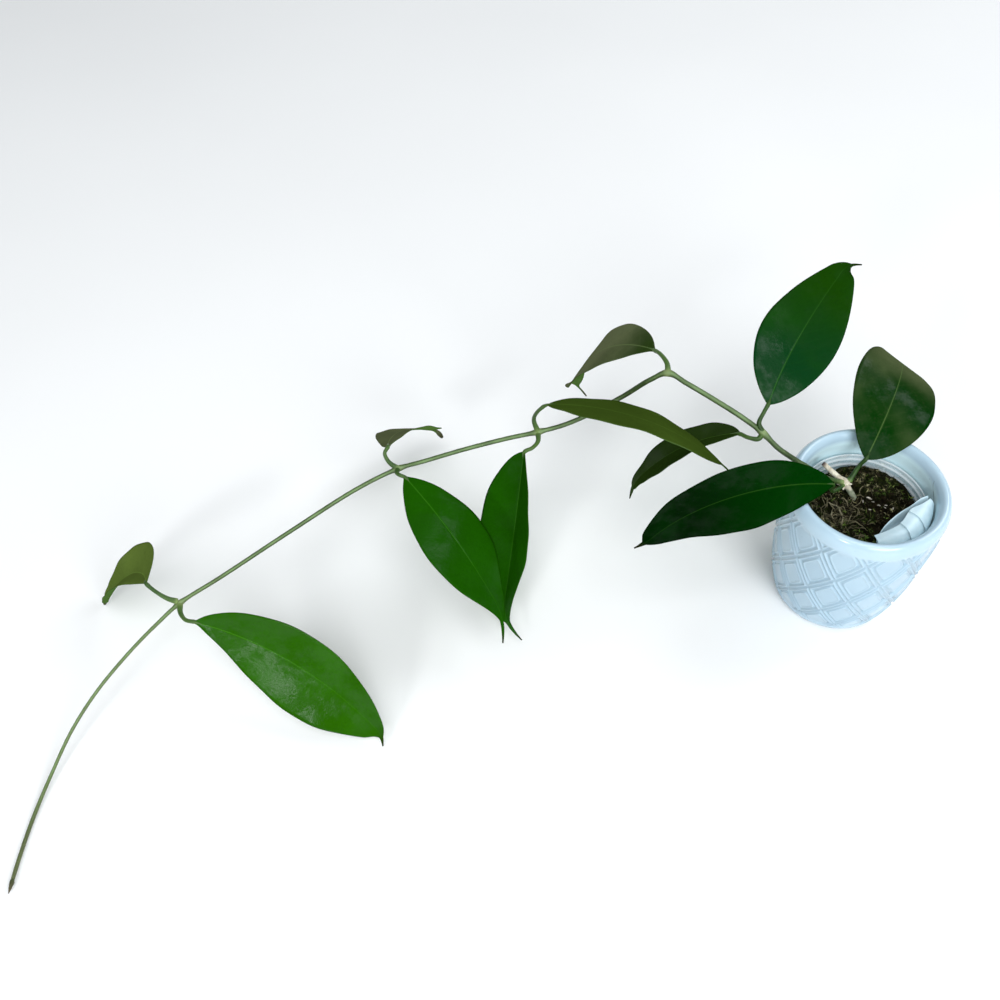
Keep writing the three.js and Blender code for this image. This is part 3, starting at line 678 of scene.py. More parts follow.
def lattice_height(z, azimuth):
    """Relief of the embossed lattice, 0 at its lowest to 1, at heights z and angles in degrees."""
    left = np.maximum(ROW_HEIGHT**2 - 2 * ROW_SHRINK * (LATTICE_TOP - z), 0)
    row = (ROW_HEIGHT - np.sqrt(left)) / ROW_SHRINK
    turn = (azimuth - LATTICE_TURN) / LATTICE_PITCH
    away = [np.abs(at - np.round(at)) * LATTICE_SPACING for at in (turn + row / 2, turn - row / 2)]
    inner = -CORNER * np.log(np.exp(-away[0] / CORNER) + np.exp(-away[1] / CORNER))
    ridge = bell(np.minimum(*away) - BAND_RIDGE, RIDGE_WIDTH)
    loop = LOOP_HEIGHT * bell(inner - LOOP_RIDGE, RIDGE_WIDTH)
    tile = TILE_HEIGHT * smoothstep(*TILE_EDGE, inner)
    return np.clip(np.maximum(ridge, np.maximum(loop, tile)), 0, 1)


def pot_profile():
    outside, _ = resample(catmull(POT_OUTSIDE, 60), POT_ROWS)
    foot = [
        (POT_FOOT_RADIUS + FOOT_ROUNDING * math.sin(a), FOOT_ROUNDING - FOOT_ROUNDING * math.cos(a))
        for a in np.radians(np.linspace(0, 84, FOOT_ROWS))
    ]
    middle = (LIP_INNER_RADIUS + LIP_OUTER_RADIUS) / 2
    half = (LIP_OUTER_RADIUS - LIP_INNER_RADIUS) / 2
    lip = [
        (middle + half * math.cos(a), POT_HEIGHT - LIP_DEPTH + LIP_DEPTH * math.sin(a))
        for a in np.radians(np.linspace(4, 176, LIP_ROWS))
    ]
    inside, _ = resample(catmull(POT_INSIDE, 30), 40)
    floor_inside = [(POT_FLOOR_RADIUS, POT_FLOOR), (14, POT_FLOOR), (0, POT_FLOOR)]
    return np.vstack([POT_BASE, foot, outside, lip, inside, floor_inside])


def build_pot():
    profile = pot_profile()
    first = len(POT_BASE) + FOOT_ROWS - 1
    last = first + POT_ROWS
    embossed = np.zeros((len(profile) - 2, 1))
    embossed[first:last] = 1
    reliefs = []

    def shape(middle, angle):
        z = middle[:, 1:]
        height = lattice_height(z, np.degrees(angle)[None, :])
        cut = RELIEF * (height - 1) * (smoothstep(*RELIEF_TOP, z) * smoothstep(*RELIEF_FOOT, z))
        cut = cut * embossed
        reliefs.append(1 + cut / RELIEF)
        return cut

    points, faces = revolve(profile, POT_SIDES, shape)
    pot = add_mesh("pot_glazed", points, faces, glaze_material(), "pot")
    # the relief's height, 0 in its hollows, marks where the glaze paints shade
    paint(pot, "relief", np.r_[reliefs[0].ravel(), 1, 1])
    # painted light: the glaze is painted paler inside, from the inner side of the lip down, standing
    # in for light on the inner wall
    inside = np.zeros(reliefs[0].shape)
    lip_end = last + LIP_ROWS
    inside[lip_end - 6 : lip_end] = np.linspace(0, 1, 6)[:, None]
    inside[lip_end:] = 1
    paint(pot, "inside", np.r_[inside.ravel(), 0, 1])


def build_painted_wall_shadow():
    """A fine dark line, a painted shadow, that runs down the inside of the wall on the right."""
    t = np.linspace(0, 1, 60)
    z = np.interp(t, (0, 0.35, 1), (102.5, 97, 87))
    azimuth = np.radians(6 - 30 * t**1.3 + 1.2 * np.sin(t * 9))
    wall = catmull(POT_INSIDE, 30)[::-1]
    arc = (LIP_OUTER_RADIUS - LIP_INNER_RADIUS) / 2
    above = np.clip((z - POT_HEIGHT + LIP_DEPTH) / LIP_DEPTH, 0, 1)
    radius = np.interp(z, wall[:, 1], wall[:, 0]) + arc * (1 - np.sqrt(1 - above**2)) - 0.02
    line = np.stack([radius * np.cos(azimuth), radius * np.sin(azimuth), z], 1)
    points, faces = tube(line, 0.16 * np.sqrt(np.sin(np.pi * (0.03 + 0.94 * t))), 8)
    # painted shadow: a dark line in the colour of shaded glaze
    shadow_bits = [(points, faces, (0.16, 0.22, 0.26))]
    add_painted("wall_shadow_line", shadow_bits, strands_look)


# ---- Inner cup and what fills it ----

def cup_outline(inset):
    outline = [(CUP_RIM_RADIUS - inset, CUP_RIM_Z - 0.5)]
    for step in range(1, CUP_STEPS + 1):
        radius = CUP_RIM_RADIUS - (step - 1) * CUP_STEP_IN - inset
        z = CUP_RIM_Z - step * CUP_STEP_HEIGHT
        for inward, up in ((0.1, 1.1), (0.3, 0.6), (CUP_STEP_IN, 0), (CUP_STEP_IN, -0.3)):
            outline.append((radius - inward, z + up))
    outline.append((CUP_FOOT_RADIUS + 1.5 - inset, POT_FLOOR + GAP + 3))
    outline.append((CUP_FOOT_RADIUS - inset, POT_FLOOR + GAP + inset))
    return outline


def build_cup():
    floor_z = POT_FLOOR + GAP
    bead = CUP_WALL / 2
    rim = [
        (CUP_RIM_RADIUS - bead + bead * math.cos(a), CUP_RIM_Z - bead + bead * math.sin(a))
        for a in np.radians((20, 60, 90, 120, 160))
    ]
    walls = [*reversed(cup_outline(0)), *rim, *cup_outline(CUP_WALL)]
    points, faces = revolve([(0, floor_z), *walls, (0, floor_z + CUP_WALL)], 120)
    cup = add_mesh("cup_clear", points, faces, clear_material(), "inner_cup")
    # painted highlight: the rim and the corner of each step are painted paler and more opaque, as if
    # they caught the light
    edge = points[:, 2] > CUP_RIM_Z - 0.8
    for step in range(1, CUP_STEPS + 1):
        z = CUP_RIM_Z - step * CUP_STEP_HEIGHT
        edge |= (points[:, 2] > z - 0.1) & (points[:, 2] < z + 0.8)
    paint(cup, "edge", edge)


def hollow_at(x, y):
    """Pits in the moss, beside the cutting and in front of the label's fold, 0 to 1; tufts in them
    are painted darker, as painted shade.
    """
    return np.maximum(hump(x, y, (13, 3), (8, 5)), 0.8 * hump(x, y, (16, -11), (7, 6)))


def moss_height(x, y):
    heading = math.radians(MOUND_HEADING)
    side = (x * math.cos(heading) + y * math.sin(heading)) / MOSS_RADIUS
    mound = smoothstep(-0.4, 1.1, side) * MOSS_MOUND
    lumps = (
        0.9 * np.sin(x * 0.55 + 1) * np.cos(y * 0.62 - x * 0.2)
        + 0.5 * np.sin(x * 1.3 + y * 0.7) * np.sin(y * 1.1 - 2)
        + 0.25 * np.sin(x * 2.9 - y * 1.7) * np.cos(y * 3.1 + x)
    )
    return SOIL_TOP_Z + GAP + MOSS_EDGE + mound + lumps - 2.2 * hollow_at(x, y)


def build_moss_bed():
    rings, sides = 60, 200
    angle = np.arange(sides) * 2 * np.pi / sides
    radius = MOSS_RADIUS * (np.arange(rings) + 1) / rings
    x = radius[:, None] * np.cos(angle)
    y = radius[:, None] * np.sin(angle)
    z = moss_height(x, y)
    z[-1] -= 0.8  # it is lower where it meets the cup
    under_z = SOIL_TOP_Z + GAP
    under = np.stack([x[-1], y[-1], np.full(sides, under_z)], -1)
    middles = [(0, 0, moss_height(0.0, 0.0)), (0, 0, under_z)]
    points = np.vstack([np.stack([x, y, z], -1).reshape(-1, 3), under, middles])
    add_mesh("moss_bed", points, tube_faces(rings, sides), moss_bed_material(), "moss")


def in_pot_disc(rng, limit):
    r = limit * math.sqrt(rng.random())
    a = rng.random() * 2 * math.pi
    return r * math.cos(a), r * math.sin(a)


def moss_zone(x, y):
    """The share of green moss at a place; the rest is brown."""
    front = hump(x, y, (-1, -14), (13, 10))
    mound = 0.45 * hump(x, y, (20, 12), (14, 14))
    return 0.12 + 0.85 * front + mound


def strand(rng, at, direction, length, radius, sag):
    """A thin tapered strand that starts at a point and droops."""
    direction = np.asarray(direction, float) / np.linalg.norm(direction)
    bend = rng.normal(0, 0.35, 3)
    t = np.linspace(0, 1, 4)[:, None]
    line = at + direction * length * t + bend * length * 0.5 * t**2 - np.array((0, 0, sag)) * t**2
    return tube(line, radius * (1 - 0.75 * t[:, 0]), 3)


def build_moss_tufts():
    rng = np.random.default_rng(SEED)
    clumps = np.array([
        (*in_pot_disc(rng, MOSS_RADIUS - 1), rng.uniform(0.2, 1.0), rng.random())
        for _ in range(MOSS_CLUMPS)
    ])
    tufts = []
    for _ in range(MOSS_TUFTS):
        x, y = in_pot_disc(rng, MOSS_RADIUS - 0.8)
        pit = float(hollow_at(x, y))
        if rng.random() < 0.8 * pit:
            continue
        # the nearest clump gives a tuft its height and its kind; tufts high on a clump are painted
        # brighter, as a painted highlight
        clump = clumps[np.argmin((clumps[:, 0] - x) ** 2 + (clumps[:, 1] - y) ** 2)]
        away = math.hypot(clump[0] - x, clump[1] - y)
        crest = max(0.0, 1 - away / CLUMP_RADIUS) * clump[2]
        palette = MOSS_GREENS if clump[3] < moss_zone(x, y) else MOSS_BROWNS
        bright = 0.12 + 6.4 * crest**1.7 * rng.uniform(0.3, 1.4)
        # painted shade: tufts in the pits are painted darker
        tint = np.array(palette[rng.integers(3)]) * bright * (1 - 0.7 * pit)
        at = np.array((x, y, float(moss_height(x, y)) - 0.5 + 1.3 * crest))
        direction = (rng.normal(0, 0.8), rng.normal(0, 0.8), rng.uniform(0.2, 1.0))
        length = rng.uniform(1.2, 2.9)
        points, faces = strand(rng, at, direction, length, rng.uniform(0.22, 0.50), 0.9)
        radius = np.hypot(points[:, 0], points[:, 1])
        points[:, :2] *= np.minimum(1, MOSS_RADIUS / np.maximum(radius, 1))[:, None]
        tufts.append((points, faces, tint))
    add_painted("moss_tufts", tufts, strands_look)


def build_fibres():
    """Longer dead fibres that lie across the front left of the moss, and the dried strips."""
    rng = np.random.default_rng(SEED + 1)
    fibres = []
    t = np.linspace(0, 1, 9)
    for _ in range(MOSS_FIBRES):
        x = rng.normal(-13, 8)
        y = rng.normal(-4, 8)
        if math.hypot(x, y) > MOSS_RADIUS - 5:
            continue
        heading = rng.uniform(0, 2 * math.pi)
        turn = rng.normal(0, 0.8)
        length = rng.uniform(4, 11)
        xs = x + np.cumsum(np.cos(heading + turn * t)) * length / 9
        ys = y + np.cumsum(np.sin(heading + turn * t)) * length / 9
        keep = np.minimum(1, (MOSS_RADIUS - 1) / np.maximum(np.hypot(xs, ys), 1))
        xs, ys = xs * keep, ys * keep
        zs = moss_height(xs, ys) + 0.9 + rng.uniform(0.4, 2.2) * np.sin(np.pi * t)
        radii = rng.uniform(0.16, 0.42) * (1 - 0.6 * np.abs(2 * t - 1) ** 2)
        points, faces = tube(np.stack([xs, ys, zs], 1), radii, 5)
        fibres.append((points, faces, np.array(FIBRE_COLOUR) * rng.uniform(0.25, 1.9)))
    t = np.linspace(0, 1, 24)
    for route, radius in DRIED_STRIPS:
        path, _ = resample(catmull([(x, y, 0) for x, y in route]), len(t))
        path[:, 2] = moss_height(path[:, 0], path[:, 1]) + 1.3
        points, faces = tube(path, radius * np.sqrt(np.sin(np.pi * (0.04 + 0.92 * t))), 8)
        fibres.append((points, faces, DRIED_COLOUR))
    add_painted("moss_fibres", fibres, strands_look)


def chip(rng, centre, size, stretch):
    """A small angular lump: a jittered, stretched icosahedron."""
    golden = (1 + 5**0.5) / 2
    base = np.array([(0, a, b * golden) for a in (-1, 1) for b in (-1, 1)], float)
    base = np.vstack([base, base[:, [1, 2, 0]], base[:, [2, 0, 1]]]) / 1.9
    faces = []
    for i, j, k in itertools.combinations(range(12), 3):
        one, two, three = base[i], base[j], base[k]
        if max(np.linalg.norm(v) for v in (one - two, two - three, one - three)) < 1.1:
            outward = np.cross(two - one, three - one) @ (one + two + three)
            faces.append((i, j, k) if outward > 0 else (i, k, j))
    points = base * rng.uniform(0.75, 1.2, (12, 1)) * np.array(stretch) * size
    turn = rng.uniform(0, 2 * math.pi)
    c, s = math.cos(turn), math.sin(turn)
    points = points @ np.array([(c, s, 0), (-s, c, 0), (0, 0, 1)])
    return points + np.array(centre), faces


def build_grit():
    """White grit in the pit beside the cutting, sitting on the moss."""
    rng = np.random.default_rng(SEED + 2)
    grit = []
    for x, y in GRIT_SPOTS:
        size = rng.uniform(0.55, 0.95)
        at = (x, y, float(moss_height(x, y)) + 0.7)
        points, faces = chip(rng, at, size, (1.7, 0.6, 0.5))
        grit.append((points, faces, np.array(GRIT_COLOUR) * rng.uniform(0.7, 1.1)))
    add_painted("white_grit", grit, strand_material("white_flecks", 0.6), smooth=False)


def build_crumbs():
    """Bark crumbs over the moss, thickest in the pits."""
    rng = np.random.default_rng(SEED + 3)
    crumbs = []
    for _ in range(MOSS_CRUMBS):
        x, y = in_pot_disc(rng, MOSS_RADIUS - 1.5)
        if rng.random() > 0.35 + 0.65 * float(hollow_at(x, y)):
            continue
        at = (x, y, float(moss_height(x, y)) + 0.1)
        points, faces = chip(rng, at, rng.uniform(0.5, 1.5), (1.5, 0.9, 0.6))
        crumbs.append((points, faces, np.array(CRUMB_COLOUR) * rng.uniform(0.3, 1.8)))
    add_painted("bark_crumbs", crumbs, strands_look, smooth=False)


# ---- Cutting, vine, bud ----

CUTTING_SIDES = 20
# Nubs and bud scars on the crown: heading and lift in degrees, length and radius
NUBS = [
    (195, 8, 5.4, 1.2), (250, -12, 5.0, 1.1), (30, 40, 4.9, 0.9),
    (320, 25, 5.0, 1.0), (285, 20, 4.7, 0.8), (100, 20, 4.4, 0.9), (160, 45, 4.6, 0.8),
]
VINE_SIDES = 16
# the paler streak along the vine is a painted highlight, on this side of it
HIGHLIGHT_SIDE = (-0.05, -0.60, 0.80)  # where the vine's paler streak lies, across the vine


def build_cutting():
    line, s = resample(catmull([*CUTTING_BURIED, CROWN, *CUTTING_TOP]), 90)
    along = s / s[-1]
    radii = 1.78 - 0.28 * smoothstep(0.72, 1.0, along)
    radii = radii * (1 + 0.03 * np.sin(along * 61) + 0.02 * np.sin(along * 137 + 1))
    radii = radii + 1.75 * bell(np.linalg.norm(line - np.array(CROWN), axis=1), 2.3)
    radii[-1] *= 0.9
    points, faces = tube(line, radii, CUTTING_SIDES, 5, 0.03)
    rings = len(line) * CUTTING_SIDES
    outward = points[:rings] - np.repeat(line, CUTTING_SIDES, 0)
    rng = np.random.default_rng(SEED + 4)
    points[:rings] += outward * rng.normal(0, 0.03, (rings, 1))
    parts = [(points, faces)]
    t = np.linspace(0, 1, 7)
    for heading, lift, length, radius in NUBS:
        h, e = math.radians(heading), math.radians(lift)
        ahead = np.array((math.cos(h) * math.cos(e), math.sin(h) * math.cos(e), math.sin(e)))
        nub = np.array(CROWN) + ahead * length * t[:, None]
        parts.append(tube(nub, radius * np.sqrt(np.maximum(1 - t**3, 0.05)), 10))
    points, faces = merge(parts)
    cutting = add_mesh("cutting_wood", points, faces, bark_material(), "cutting")
    upper = smoothstep(CROWN[2] - 3.2, CROWN[2] - 1.2, points[:, 2])
    to_end = np.linalg.norm(points - np.array(CUTTING_TOP[-1]), axis=1)
    paint(cutting, "zone", np.stack([upper, smoothstep(2.6, 1.1, to_end), 0 * upper], 1))


def build_vine(line, s):
    along = s / s[-1]
    to_joint = np.min(np.linalg.norm(line[:, None] - np.array(JOINTS)[None], axis=2), axis=1)
    radii = VINE_ROOT_RADIUS + (VINE_TIP_RADIUS - VINE_ROOT_RADIUS) * along
    radii = radii + KNUCKLE_SWELL * bell(to_joint, KNUCKLE_LENGTH)
    radii = radii * (1 + 0.015 * np.sin(s * 0.9) + 0.012 * np.sin(s * 2.3 + 1))
    radii = radii * (0.93 - 0.12 * smoothstep(0.70, 0.78, along) * smoothstep(0.95, 0.90, along))
    points, faces = tube(line, radii, VINE_SIDES, 4, 0.025)
    vine = add_mesh("vine_stem", points, faces, stem_looks["vine_green"], "vine")
    pale = np.maximum(bell(to_joint, 2.4), 0.3 * smoothstep(0.62, 0.8, along))
    pale = np.maximum(pale, smoothstep(9, 2, s)) * 0.9
    zone = np.stack([pale, 0.30 * smoothstep(0.90, 1.0, along), 0 * pale], 1)
    zone = np.vstack([np.repeat(zone, VINE_SIDES, 0), zone[:1], zone[-1:]])
    # the painted highlight streak is broken here and there, and fades near the root
    rings = len(line) * VINE_SIDES
    outward = points[:rings] - np.repeat(line, VINE_SIDES, 0)
    height = outward @ HIGHLIGHT_SIDE / np.repeat(radii, VINE_SIDES)
    unbroken = 0.7 + 0.3 * np.sin(s * 0.31) * np.sin(s * 0.083 + 1)
    unbroken = unbroken * (0.3 + 0.7 * smoothstep(30, 90, s))
    zone[:rings, 2] = smoothstep(0.72, 0.95, height) * np.repeat(unbroken, VINE_SIDES)
    paint(vine, "zone", zone)


def build_bud(line):
    direction = line[-1] - line[-2]
    direction /= np.linalg.norm(direction)
    start = line[-1]
    end = start + direction * (GAP + BUD_LENGTH)
    end[2] = start[2]
    t = np.linspace(0, 1, 26)
    axis = start + (end - start) * t[:, None]
    radii = 0.12 + 1.25 * np.sin(np.pi * (0.2 + 0.8 * t)) * (1 - 0.45 * t)
    parts = [tube(axis, radii * (1 + 0.05 * np.sin(t * 22)), 14)]
    u, v = carried_frames(axis)
    span = np.linspace(0, 1, 8)
    for k in range(5):
        # scale leaves that clasp the bud, each one a thin pointed strip
        angle = 2.4 * k
        at = np.clip(0.06 + 0.13 * k + np.linspace(0, 0.42, 8), 0, 1)
        out = np.interp(at, t, radii) + 0.12 + 0.15 * span**2
        middle = np.stack([np.interp(at, t, axis[:, i]) for i in range(3)], 1)
        ray = math.cos(angle) * u[0] + math.sin(angle) * v[0]
        strip = middle + ray * (out * 0.55)[:, None]
        parts.append(tube(strip, 0.75 * out * (1 - 0.9 * span**2) * 0.75, 10))
    points, faces = merge(parts)
    points[:, 2] = np.maximum(points[:, 2], 0.25)
    bud = add_mesh("tip_bud_scales", points, faces, stem_looks["vine_green"], "tip_bud")
    reach = np.clip((points - start) @ direction / BUD_LENGTH, 0, 1)
    paint(bud, "zone", np.stack([0 * reach, 0.25 + 0.65 * reach, 0 * reach], 1))


# ---- Leaves ----

LEAF_ROWS = 16  # the CAD blade's rows, whose middle line the fine blade keeps to
ROW_CROWDING = 1.15  # how much closer the rows are towards the tip
BLADE_ROWS = 120
BLADE_COLUMNS = 36
COLUMN_CROWDING = 1.45  # how much closer the columns are towards the midrib
VEIN_SPACING = 8.5
STALK_SIDES = 14


def crowded(rows):
    return 1 - (1 - np.arange(rows + 1) / rows) ** ROW_CROWDING


def blade_outline(along, leaf, edge):
    """How far one margin (edge -1 or 1) is from the midrib, in parts of half the width."""
    body_along = np.clip(along / (1 - 0.55 * leaf["tip"]), 0, 1)
    peak = math.log(0.5) / math.log(leaf["belly"] + edge * leaf["uneven"])
    power = 0.76 + leaf["taper"] * along**2
    body = np.maximum(np.sin(np.pi * body_along**peak), 0) ** power
    body = body * (1 - leaf["slim"] * smoothstep(0.68, 0.88, along))
    left = np.clip((1 - along) / leaf["tip"], 0, 1)
    drip = 0.015 + leaf["tail"] * left ** leaf["tail_power"]
    drip = drip * (0.4 + 0.6 * smoothstep(0, 0.08, along))
    blend = 2 - 0.6 * smoothstep(0.6, 0.9, along)
    return (body**blend + drip**blend) ** (1 / blend)


def blade_frame(along, leaf):
    """Forwards, sideways and up from the blade, at places along it."""
    tip = 1.3 * leaf["tip"]
    bend = smoothstep(0, 1, (along - 1 + tip) / tip)
    heading = np.radians(leaf["heading"] + leaf["sweep"] * along + leaf["tip_turn"] * bend)
    droop = leaf["droop"] * along ** leaf["power"]
    rise = np.radians(leaf["rise"] - droop + leaf["tip_lift"] * bend)
    bank = np.radians(leaf["roll"] + leaf["twist"] * along)[:, None]
    level_part = np.cos(rise)
    forward = [level_part * np.cos(heading), level_part * np.sin(heading), np.sin(rise)]
    forward = np.stack(forward, -1)
    level = np.stack([np.sin(heading), -np.cos(heading), 0 * heading], -1)
    above = np.cross(level, forward)
    side = level * np.cos(bank) + above * np.sin(bank)
    return forward, side, -level * np.sin(bank) + above * np.cos(bank)


def blade_middle(along, leaf):
    """The midrib: the CAD blade's row points joined by a curve that leaves each one forwards."""
    rows = crowded(LEAF_ROWS)
    steps = np.diff(rows)
    forward, _, _ = blade_frame((rows[1:] + rows[:-1]) / 2, leaf)
    reached = np.cumsum(forward * steps[:, None], 0) * leaf["length"]
    spine = np.vstack([leaf["base"], leaf["base"] + reached])
    ahead, _, _ = blade_frame(rows, leaf)
    k = np.clip(np.searchsorted(rows, along, side="right") - 1, 0, LEAF_ROWS - 1)
    span = rows[k + 1] - rows[k]
    u = ((along - rows[k]) / span)[:, None]
    slope = (span * leaf["length"])[:, None]
    return (
        (2 * u**3 - 3 * u**2 + 1) * spine[k] + (u**3 - 2 * u**2 + u) * (ahead[k] * slope)
        + (3 * u**2 - 2 * u**3) * spine[k + 1] + (u**3 - u**2) * (ahead[k + 1] * slope)
    )


def sheet_faces(rows, columns):
    """Faces of a closed sheet: upper grid, lower grid and the walls; and how many are upper."""
    width = columns + 1
    under = (rows + 1) * width
    upper, rest = [], []
    for i in range(rows):
        for j in range(columns):
            a = i * width + j
            upper.append((a, a + 1, a + width + 1, a + width))
            rest.append((under + a, under + a + width, under + a + width + 1, under + a + 1))
        left, right = i * width, i * width + columns
        rest.append((left, left + width, under + left + width, under + left))
        rest.append((right, under + right, under + right + width, right + width))
    last = rows * width
    for j in range(columns):
        rest.append((j, under + j, under + j + 1, j + 1))
        rest.append((last + j, last + j + 1, under + last + j + 1, under + last + j))
    return upper + rest, len(upper)


def leaf_blade(leaf, rng):
    """The blade's vertices, and what is painted on each: margin, along and rib; and the veins."""
    t = crowded(BLADE_ROWS)
    u = np.linspace(-1, 1, BLADE_COLUMNS + 1)
    s = np.sign(u) * np.abs(u) ** COLUMN_CROWDING
    t_row, s_row = t[:, None], s[None, :]
    _, side, normal = (part[:, None, :] for part in blade_frame(t, leaf))
    margins = [leaf["width"] / 2 * blade_outline(t, leaf, edge) for edge in (-1, 1)]
    half_width = np.where(s_row < 0, margins[0][:, None], margins[1][:, None])
    lateral = half_width * s_row
    fold = math.radians(leaf["fold"])
    lift = half_width * (np.sqrt(s_row**2 + 0.004) - math.sqrt(0.004)) * math.sin(fold)

    # gentle unevenness of the margins, which dies away at the midrib and at both ends
    phase = rng.uniform(0, 2 * np.pi, 4)
    ends = smoothstep(0, 0.15, t_row) * smoothstep(1, 0.8, t_row)
    wave = 0.45 * np.sin(t_row * 13 + phase[0]) * (s > 0)
    wave = wave + 0.45 * np.sin(t_row * 11 + phase[1]) * (s < 0)
    wave = wave + 0.25 * np.sin(t_row * 29 + phase[2])
    lift = lift + wave * (s_row**2) * ends

    # secondary veins leave the midrib at about 55 degrees and curve towards the tip
    across = np.abs(lateral)
    order = t_row * leaf["length"] - across * 0.75 - across**2 * 0.012
    order = order / VEIN_SPACING + 0.5 * (s_row > 0) + phase[3]
    vein = bell((order - np.round(order)) * VEIN_SPACING, 0.55)
    vein = vein * smoothstep(0.98, 0.6, np.abs(s_row)) * ends
    rib = bell(lateral, 0.16 + 0.18 * (1 - t_row)) * (0.35 + 0.65 * smoothstep(1.0, 0.2, t_row))

    thickness = 0.52 - 0.30 * s_row**2
    top = thickness - 0.20 * rib * ends - 0.04 * vein
    bottom = thickness * 0.8 + 0.45 * rib * ends + 0.08 * vein
    flat = blade_middle(t, leaf)[:, None, :] + (lateral * math.cos(fold))[..., None] * side
    flat = flat + lift[..., None] * normal
    upper = flat + top[..., None] * normal
    lower = flat - bottom[..., None] * normal
    margin = half_width * (1 - np.abs(s_row)) / 12
    painting = np.stack([margin, np.repeat(t_row, len(s), 1), rib], -1).reshape(-1, 3)
    return np.vstack([upper.reshape(-1, 3), lower.reshape(-1, 3)]), painting, vein.ravel()


def leaf_stalk(leaf):
    """The stalk's vertices, faces and joint colouring; it ends inside the blade's base."""
    base = np.array(leaf["base"], float)
    forward, _, _ = blade_frame(np.zeros(1), leaf)
    stalk, run = resample(catmull([*leaf["stalk"], base, base + forward[0] * 6]), 60)
    part = run / run[-1]
    radii = 1.55 - 0.30 * smoothstep(0.1, 0.5, part) - 0.85 * smoothstep(0.72, 1.0, part)
    radii = radii + 0.35 * bell(part, 0.12) + 0.12 * bell(part - 0.74, 0.05)
    radii = radii * (1 - leaf["slender"] * smoothstep(0.62, 0.0, part))
    points, faces = tube(stalk, radii, STALK_SIDES, 2, 0.03)
    pale = np.r_[np.repeat(bell(part, 0.07), STALK_SIDES), 1, 0]
    return points, faces, np.stack([pale, 0 * pale, 0 * pale], 1)


def build_leaf(leaf, number):
    blade, painting, vein = leaf_blade(leaf, np.random.default_rng(SEED + 20 + number))
    blade_faces, upper_count = sheet_faces(BLADE_ROWS, BLADE_COLUMNS)
    stalk, stalk_faces, zone = leaf_stalk(leaf)
    points, faces = merge([(blade, blade_faces), (stalk, stalk_faces)])
    looks = [upper_look(leaf), under_looks[leaf["under"]], stem_looks["stalk_" + leaf["stem"]]]
    piece = add_mesh(leaf["name"] + "_blade", points, faces, looks, leaf["name"])
    index = np.zeros(len(faces), np.int32)
    index[upper_count : len(blade_faces)] = 1
    index[len(blade_faces) :] = 2
    piece.data.polygons.foreach_set("material_index", index)
    plain = np.zeros((len(stalk), 3))
    paint(piece, "blade", np.vstack([painting, painting, plain]))
    paint(piece, "veins", np.r_[vein, vein, plain[:, 0]])
    paint(piece, "zone", np.vstack([np.zeros((len(blade), 3)), zone]))


# ---- Label ----

def label_grid(from_row, to_row, rows):
    """Points of the label's middle surface and its normals, between two places along it."""
    edges = [catmull(line, 60) for line in zip(*LABEL_RIBS)]
    last = len(edges[0]) - 1
    ribs = []
    for at in np.linspace(from_row, to_row, rows + 1) * last:
        points = [[np.interp(at, np.arange(last + 1), axis) for axis in edge.T] for edge in edges]
        ribs.append(resample(catmull(points, 30), LABEL_COLUMNS + 1)[0])
    grid = np.array(ribs)
    normal = np.cross(np.gradient(grid, axis=1), np.gradient(grid, axis=0))
    return grid, normal / np.linalg.norm(normal, axis=2)[..., None]


def label_layer(from_row, to_row, rows, offset, first_column=0, lift=0.0):
    """A closed sheet beside the label's middle surface; lift holds its first edge off it."""
    grid, normal = (part[:, first_column:] for part in label_grid(from_row, to_row, rows))
    away = offset - lift * np.linspace(1, 0, rows + 1)[:, None, None] ** 3
    top = grid + normal * (away + LABEL_HALF)
    under = grid + normal * (away - LABEL_HALF)
    faces, _ = sheet_faces(rows, LABEL_COLUMNS - first_column)
    return np.vstack([top.reshape(-1, 3), under.reshape(-1, 3)]), faces


def build_label():
    parts = [label_layer(0, 1, 110, 0)]
    for from_row, to_row, offset in LABEL_TURNS:
        parts.append(label_layer(from_row, to_row, 60, offset, LABEL_COLUMNS // 2, 0.7))
    points, faces = merge(parts)
    look = grained_material(
        "label", (300, 3), (0.3, 0.7), (0.50, 0.66, 0.73), (0.55, 0.70, 0.76),
        Roughness=0.42, Normal=(0.15, 0.0002),
    )
    add_mesh("label_band", points, faces, look, "label_strip")


# ---- Build everything ----

build_pot()
build_painted_wall_shadow()
build_cup()
build_moss_bed()
build_moss_tufts()
build_fibres()
build_grit()
build_crumbs()
build_cutting()
vine_middle, vine_run = resample(catmull(VINE_ROUTE), 1100)
build_vine(vine_middle, vine_run)
build_bud(vine_middle)
for number, leaf in enumerate(LEAVES):
    build_leaf(leaf, number)
build_label()

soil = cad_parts["soil"]
soil.data.materials.clear()
soil.data.materials.append(grained_material(
    "potting_mix", (260, 6, 0.7), (0.35, 0.7), (0.010, 0.007, 0.004), (0.060, 0.040, 0.022),
    Roughness=0.9, Normal=(0.9, 0.002),
))


# ---- Floor, light, camera ----

floor_mesh = bpy.data.meshes.new("floor")
floor_mesh.from_pydata([(-6, -6, 0), (6, -6, 0), (6, 6, 0), (-6, 6, 0)], [], [(0, 1, 2, 3)])
floor_mesh.materials.append(grained_material(
    "floor", (3, 2), (0.3, 0.7), (0.90, 0.90, 0.90), (0.92, 0.92, 0.92),
    Roughness=0.8, Specular_IOR_Level=0.1,
))
floor = bpy.data.objects.new("floor", floor_mesh)
floor.location.z = -0.0005
bpy.context.scene.collection.objects.link(floor)

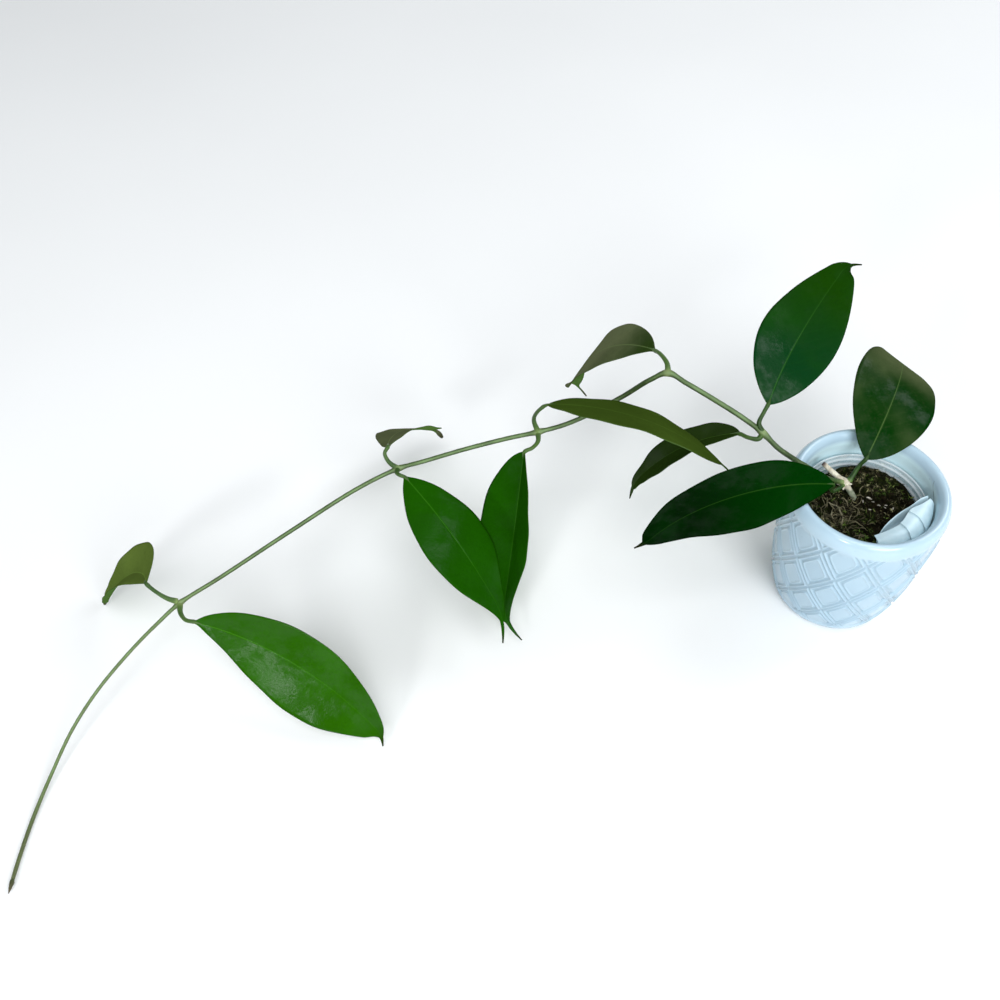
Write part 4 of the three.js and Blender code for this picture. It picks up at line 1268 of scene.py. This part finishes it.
world = bpy.data.worlds.new("studio")
world.use_nodes = True
world.node_tree.nodes["Background"].inputs[0].default_value = (0.93, 0.97, 1.0, 1)
world.node_tree.nodes["Background"].inputs[1].default_value = 0.30
bpy.context.scene.world = world

# Name, place, aim, size (all in metres), watts and colour
LIGHTS = [
    ("window", (1.55, 0.85, 1.9), (-0.1, 0.0, 0.05), (1.3, 1.2), 24, (0.93, 0.97, 1.0)),
    ("right_front", (0.6, -1.95, 1.2), (-0.1, 0.0, 0.05), (1.3, 1.0), 32, (0.95, 0.98, 1.0)),
    ("overhead", (-0.2, -0.9, 2.1), (-0.25, 0.0, 0.0), (1.8, 1.4), 26, (0.97, 0.99, 1.0)),
    ("front_left", (-1.3, -1.9, 1.15), (-0.3, -0.05, 0.05), (0.45, 0.32), 13, (0.97, 0.99, 1.0)),
]
for name, at, aim, size, watts, colour in LIGHTS:
    data = bpy.data.lights.new(name, "AREA")
    data.shape = "RECTANGLE"
    data.size, data.size_y = size
    data.energy = watts
    data.color = colour
    lamp = bpy.data.objects.new(name, data)
    lamp.location = at
    lamp.rotation_euler = (Vector(aim) - Vector(at)).to_track_quat("-Z", "Y").to_euler()
    bpy.context.scene.collection.objects.link(lamp)

PHOTO_PITCH = 52.6  # degrees below the horizon
PHOTO_ROLL = 2.1
PHOTO_FROM = (-0.222, -0.363, 0.580)

camera_data = bpy.data.cameras.new("camera")
camera_data.sensor_fit = "HORIZONTAL"
camera_data.sensor_width = 36
camera_data.lens = 36
camera_data.clip_start = 0.02
camera = bpy.data.objects.new("camera", camera_data)
pitch, roll = math.radians(PHOTO_PITCH), math.radians(PHOTO_ROLL)
ahead = Vector((0, math.cos(pitch), -math.sin(pitch)))
right = Vector((1, 0, 0))
down = ahead.cross(right)
image_right = right * math.cos(roll) + down * math.sin(roll)
image_down = down * math.cos(roll) - right * math.sin(roll)
camera.matrix_world = Matrix.Translation(PHOTO_FROM) @ Matrix(
    (image_right, -image_down, -ahead)
).transposed().to_4x4()
bpy.context.scene.collection.objects.link(camera)
bpy.context.scene.camera = camera
bpy.context.scene.view_settings.view_transform = "Standard"
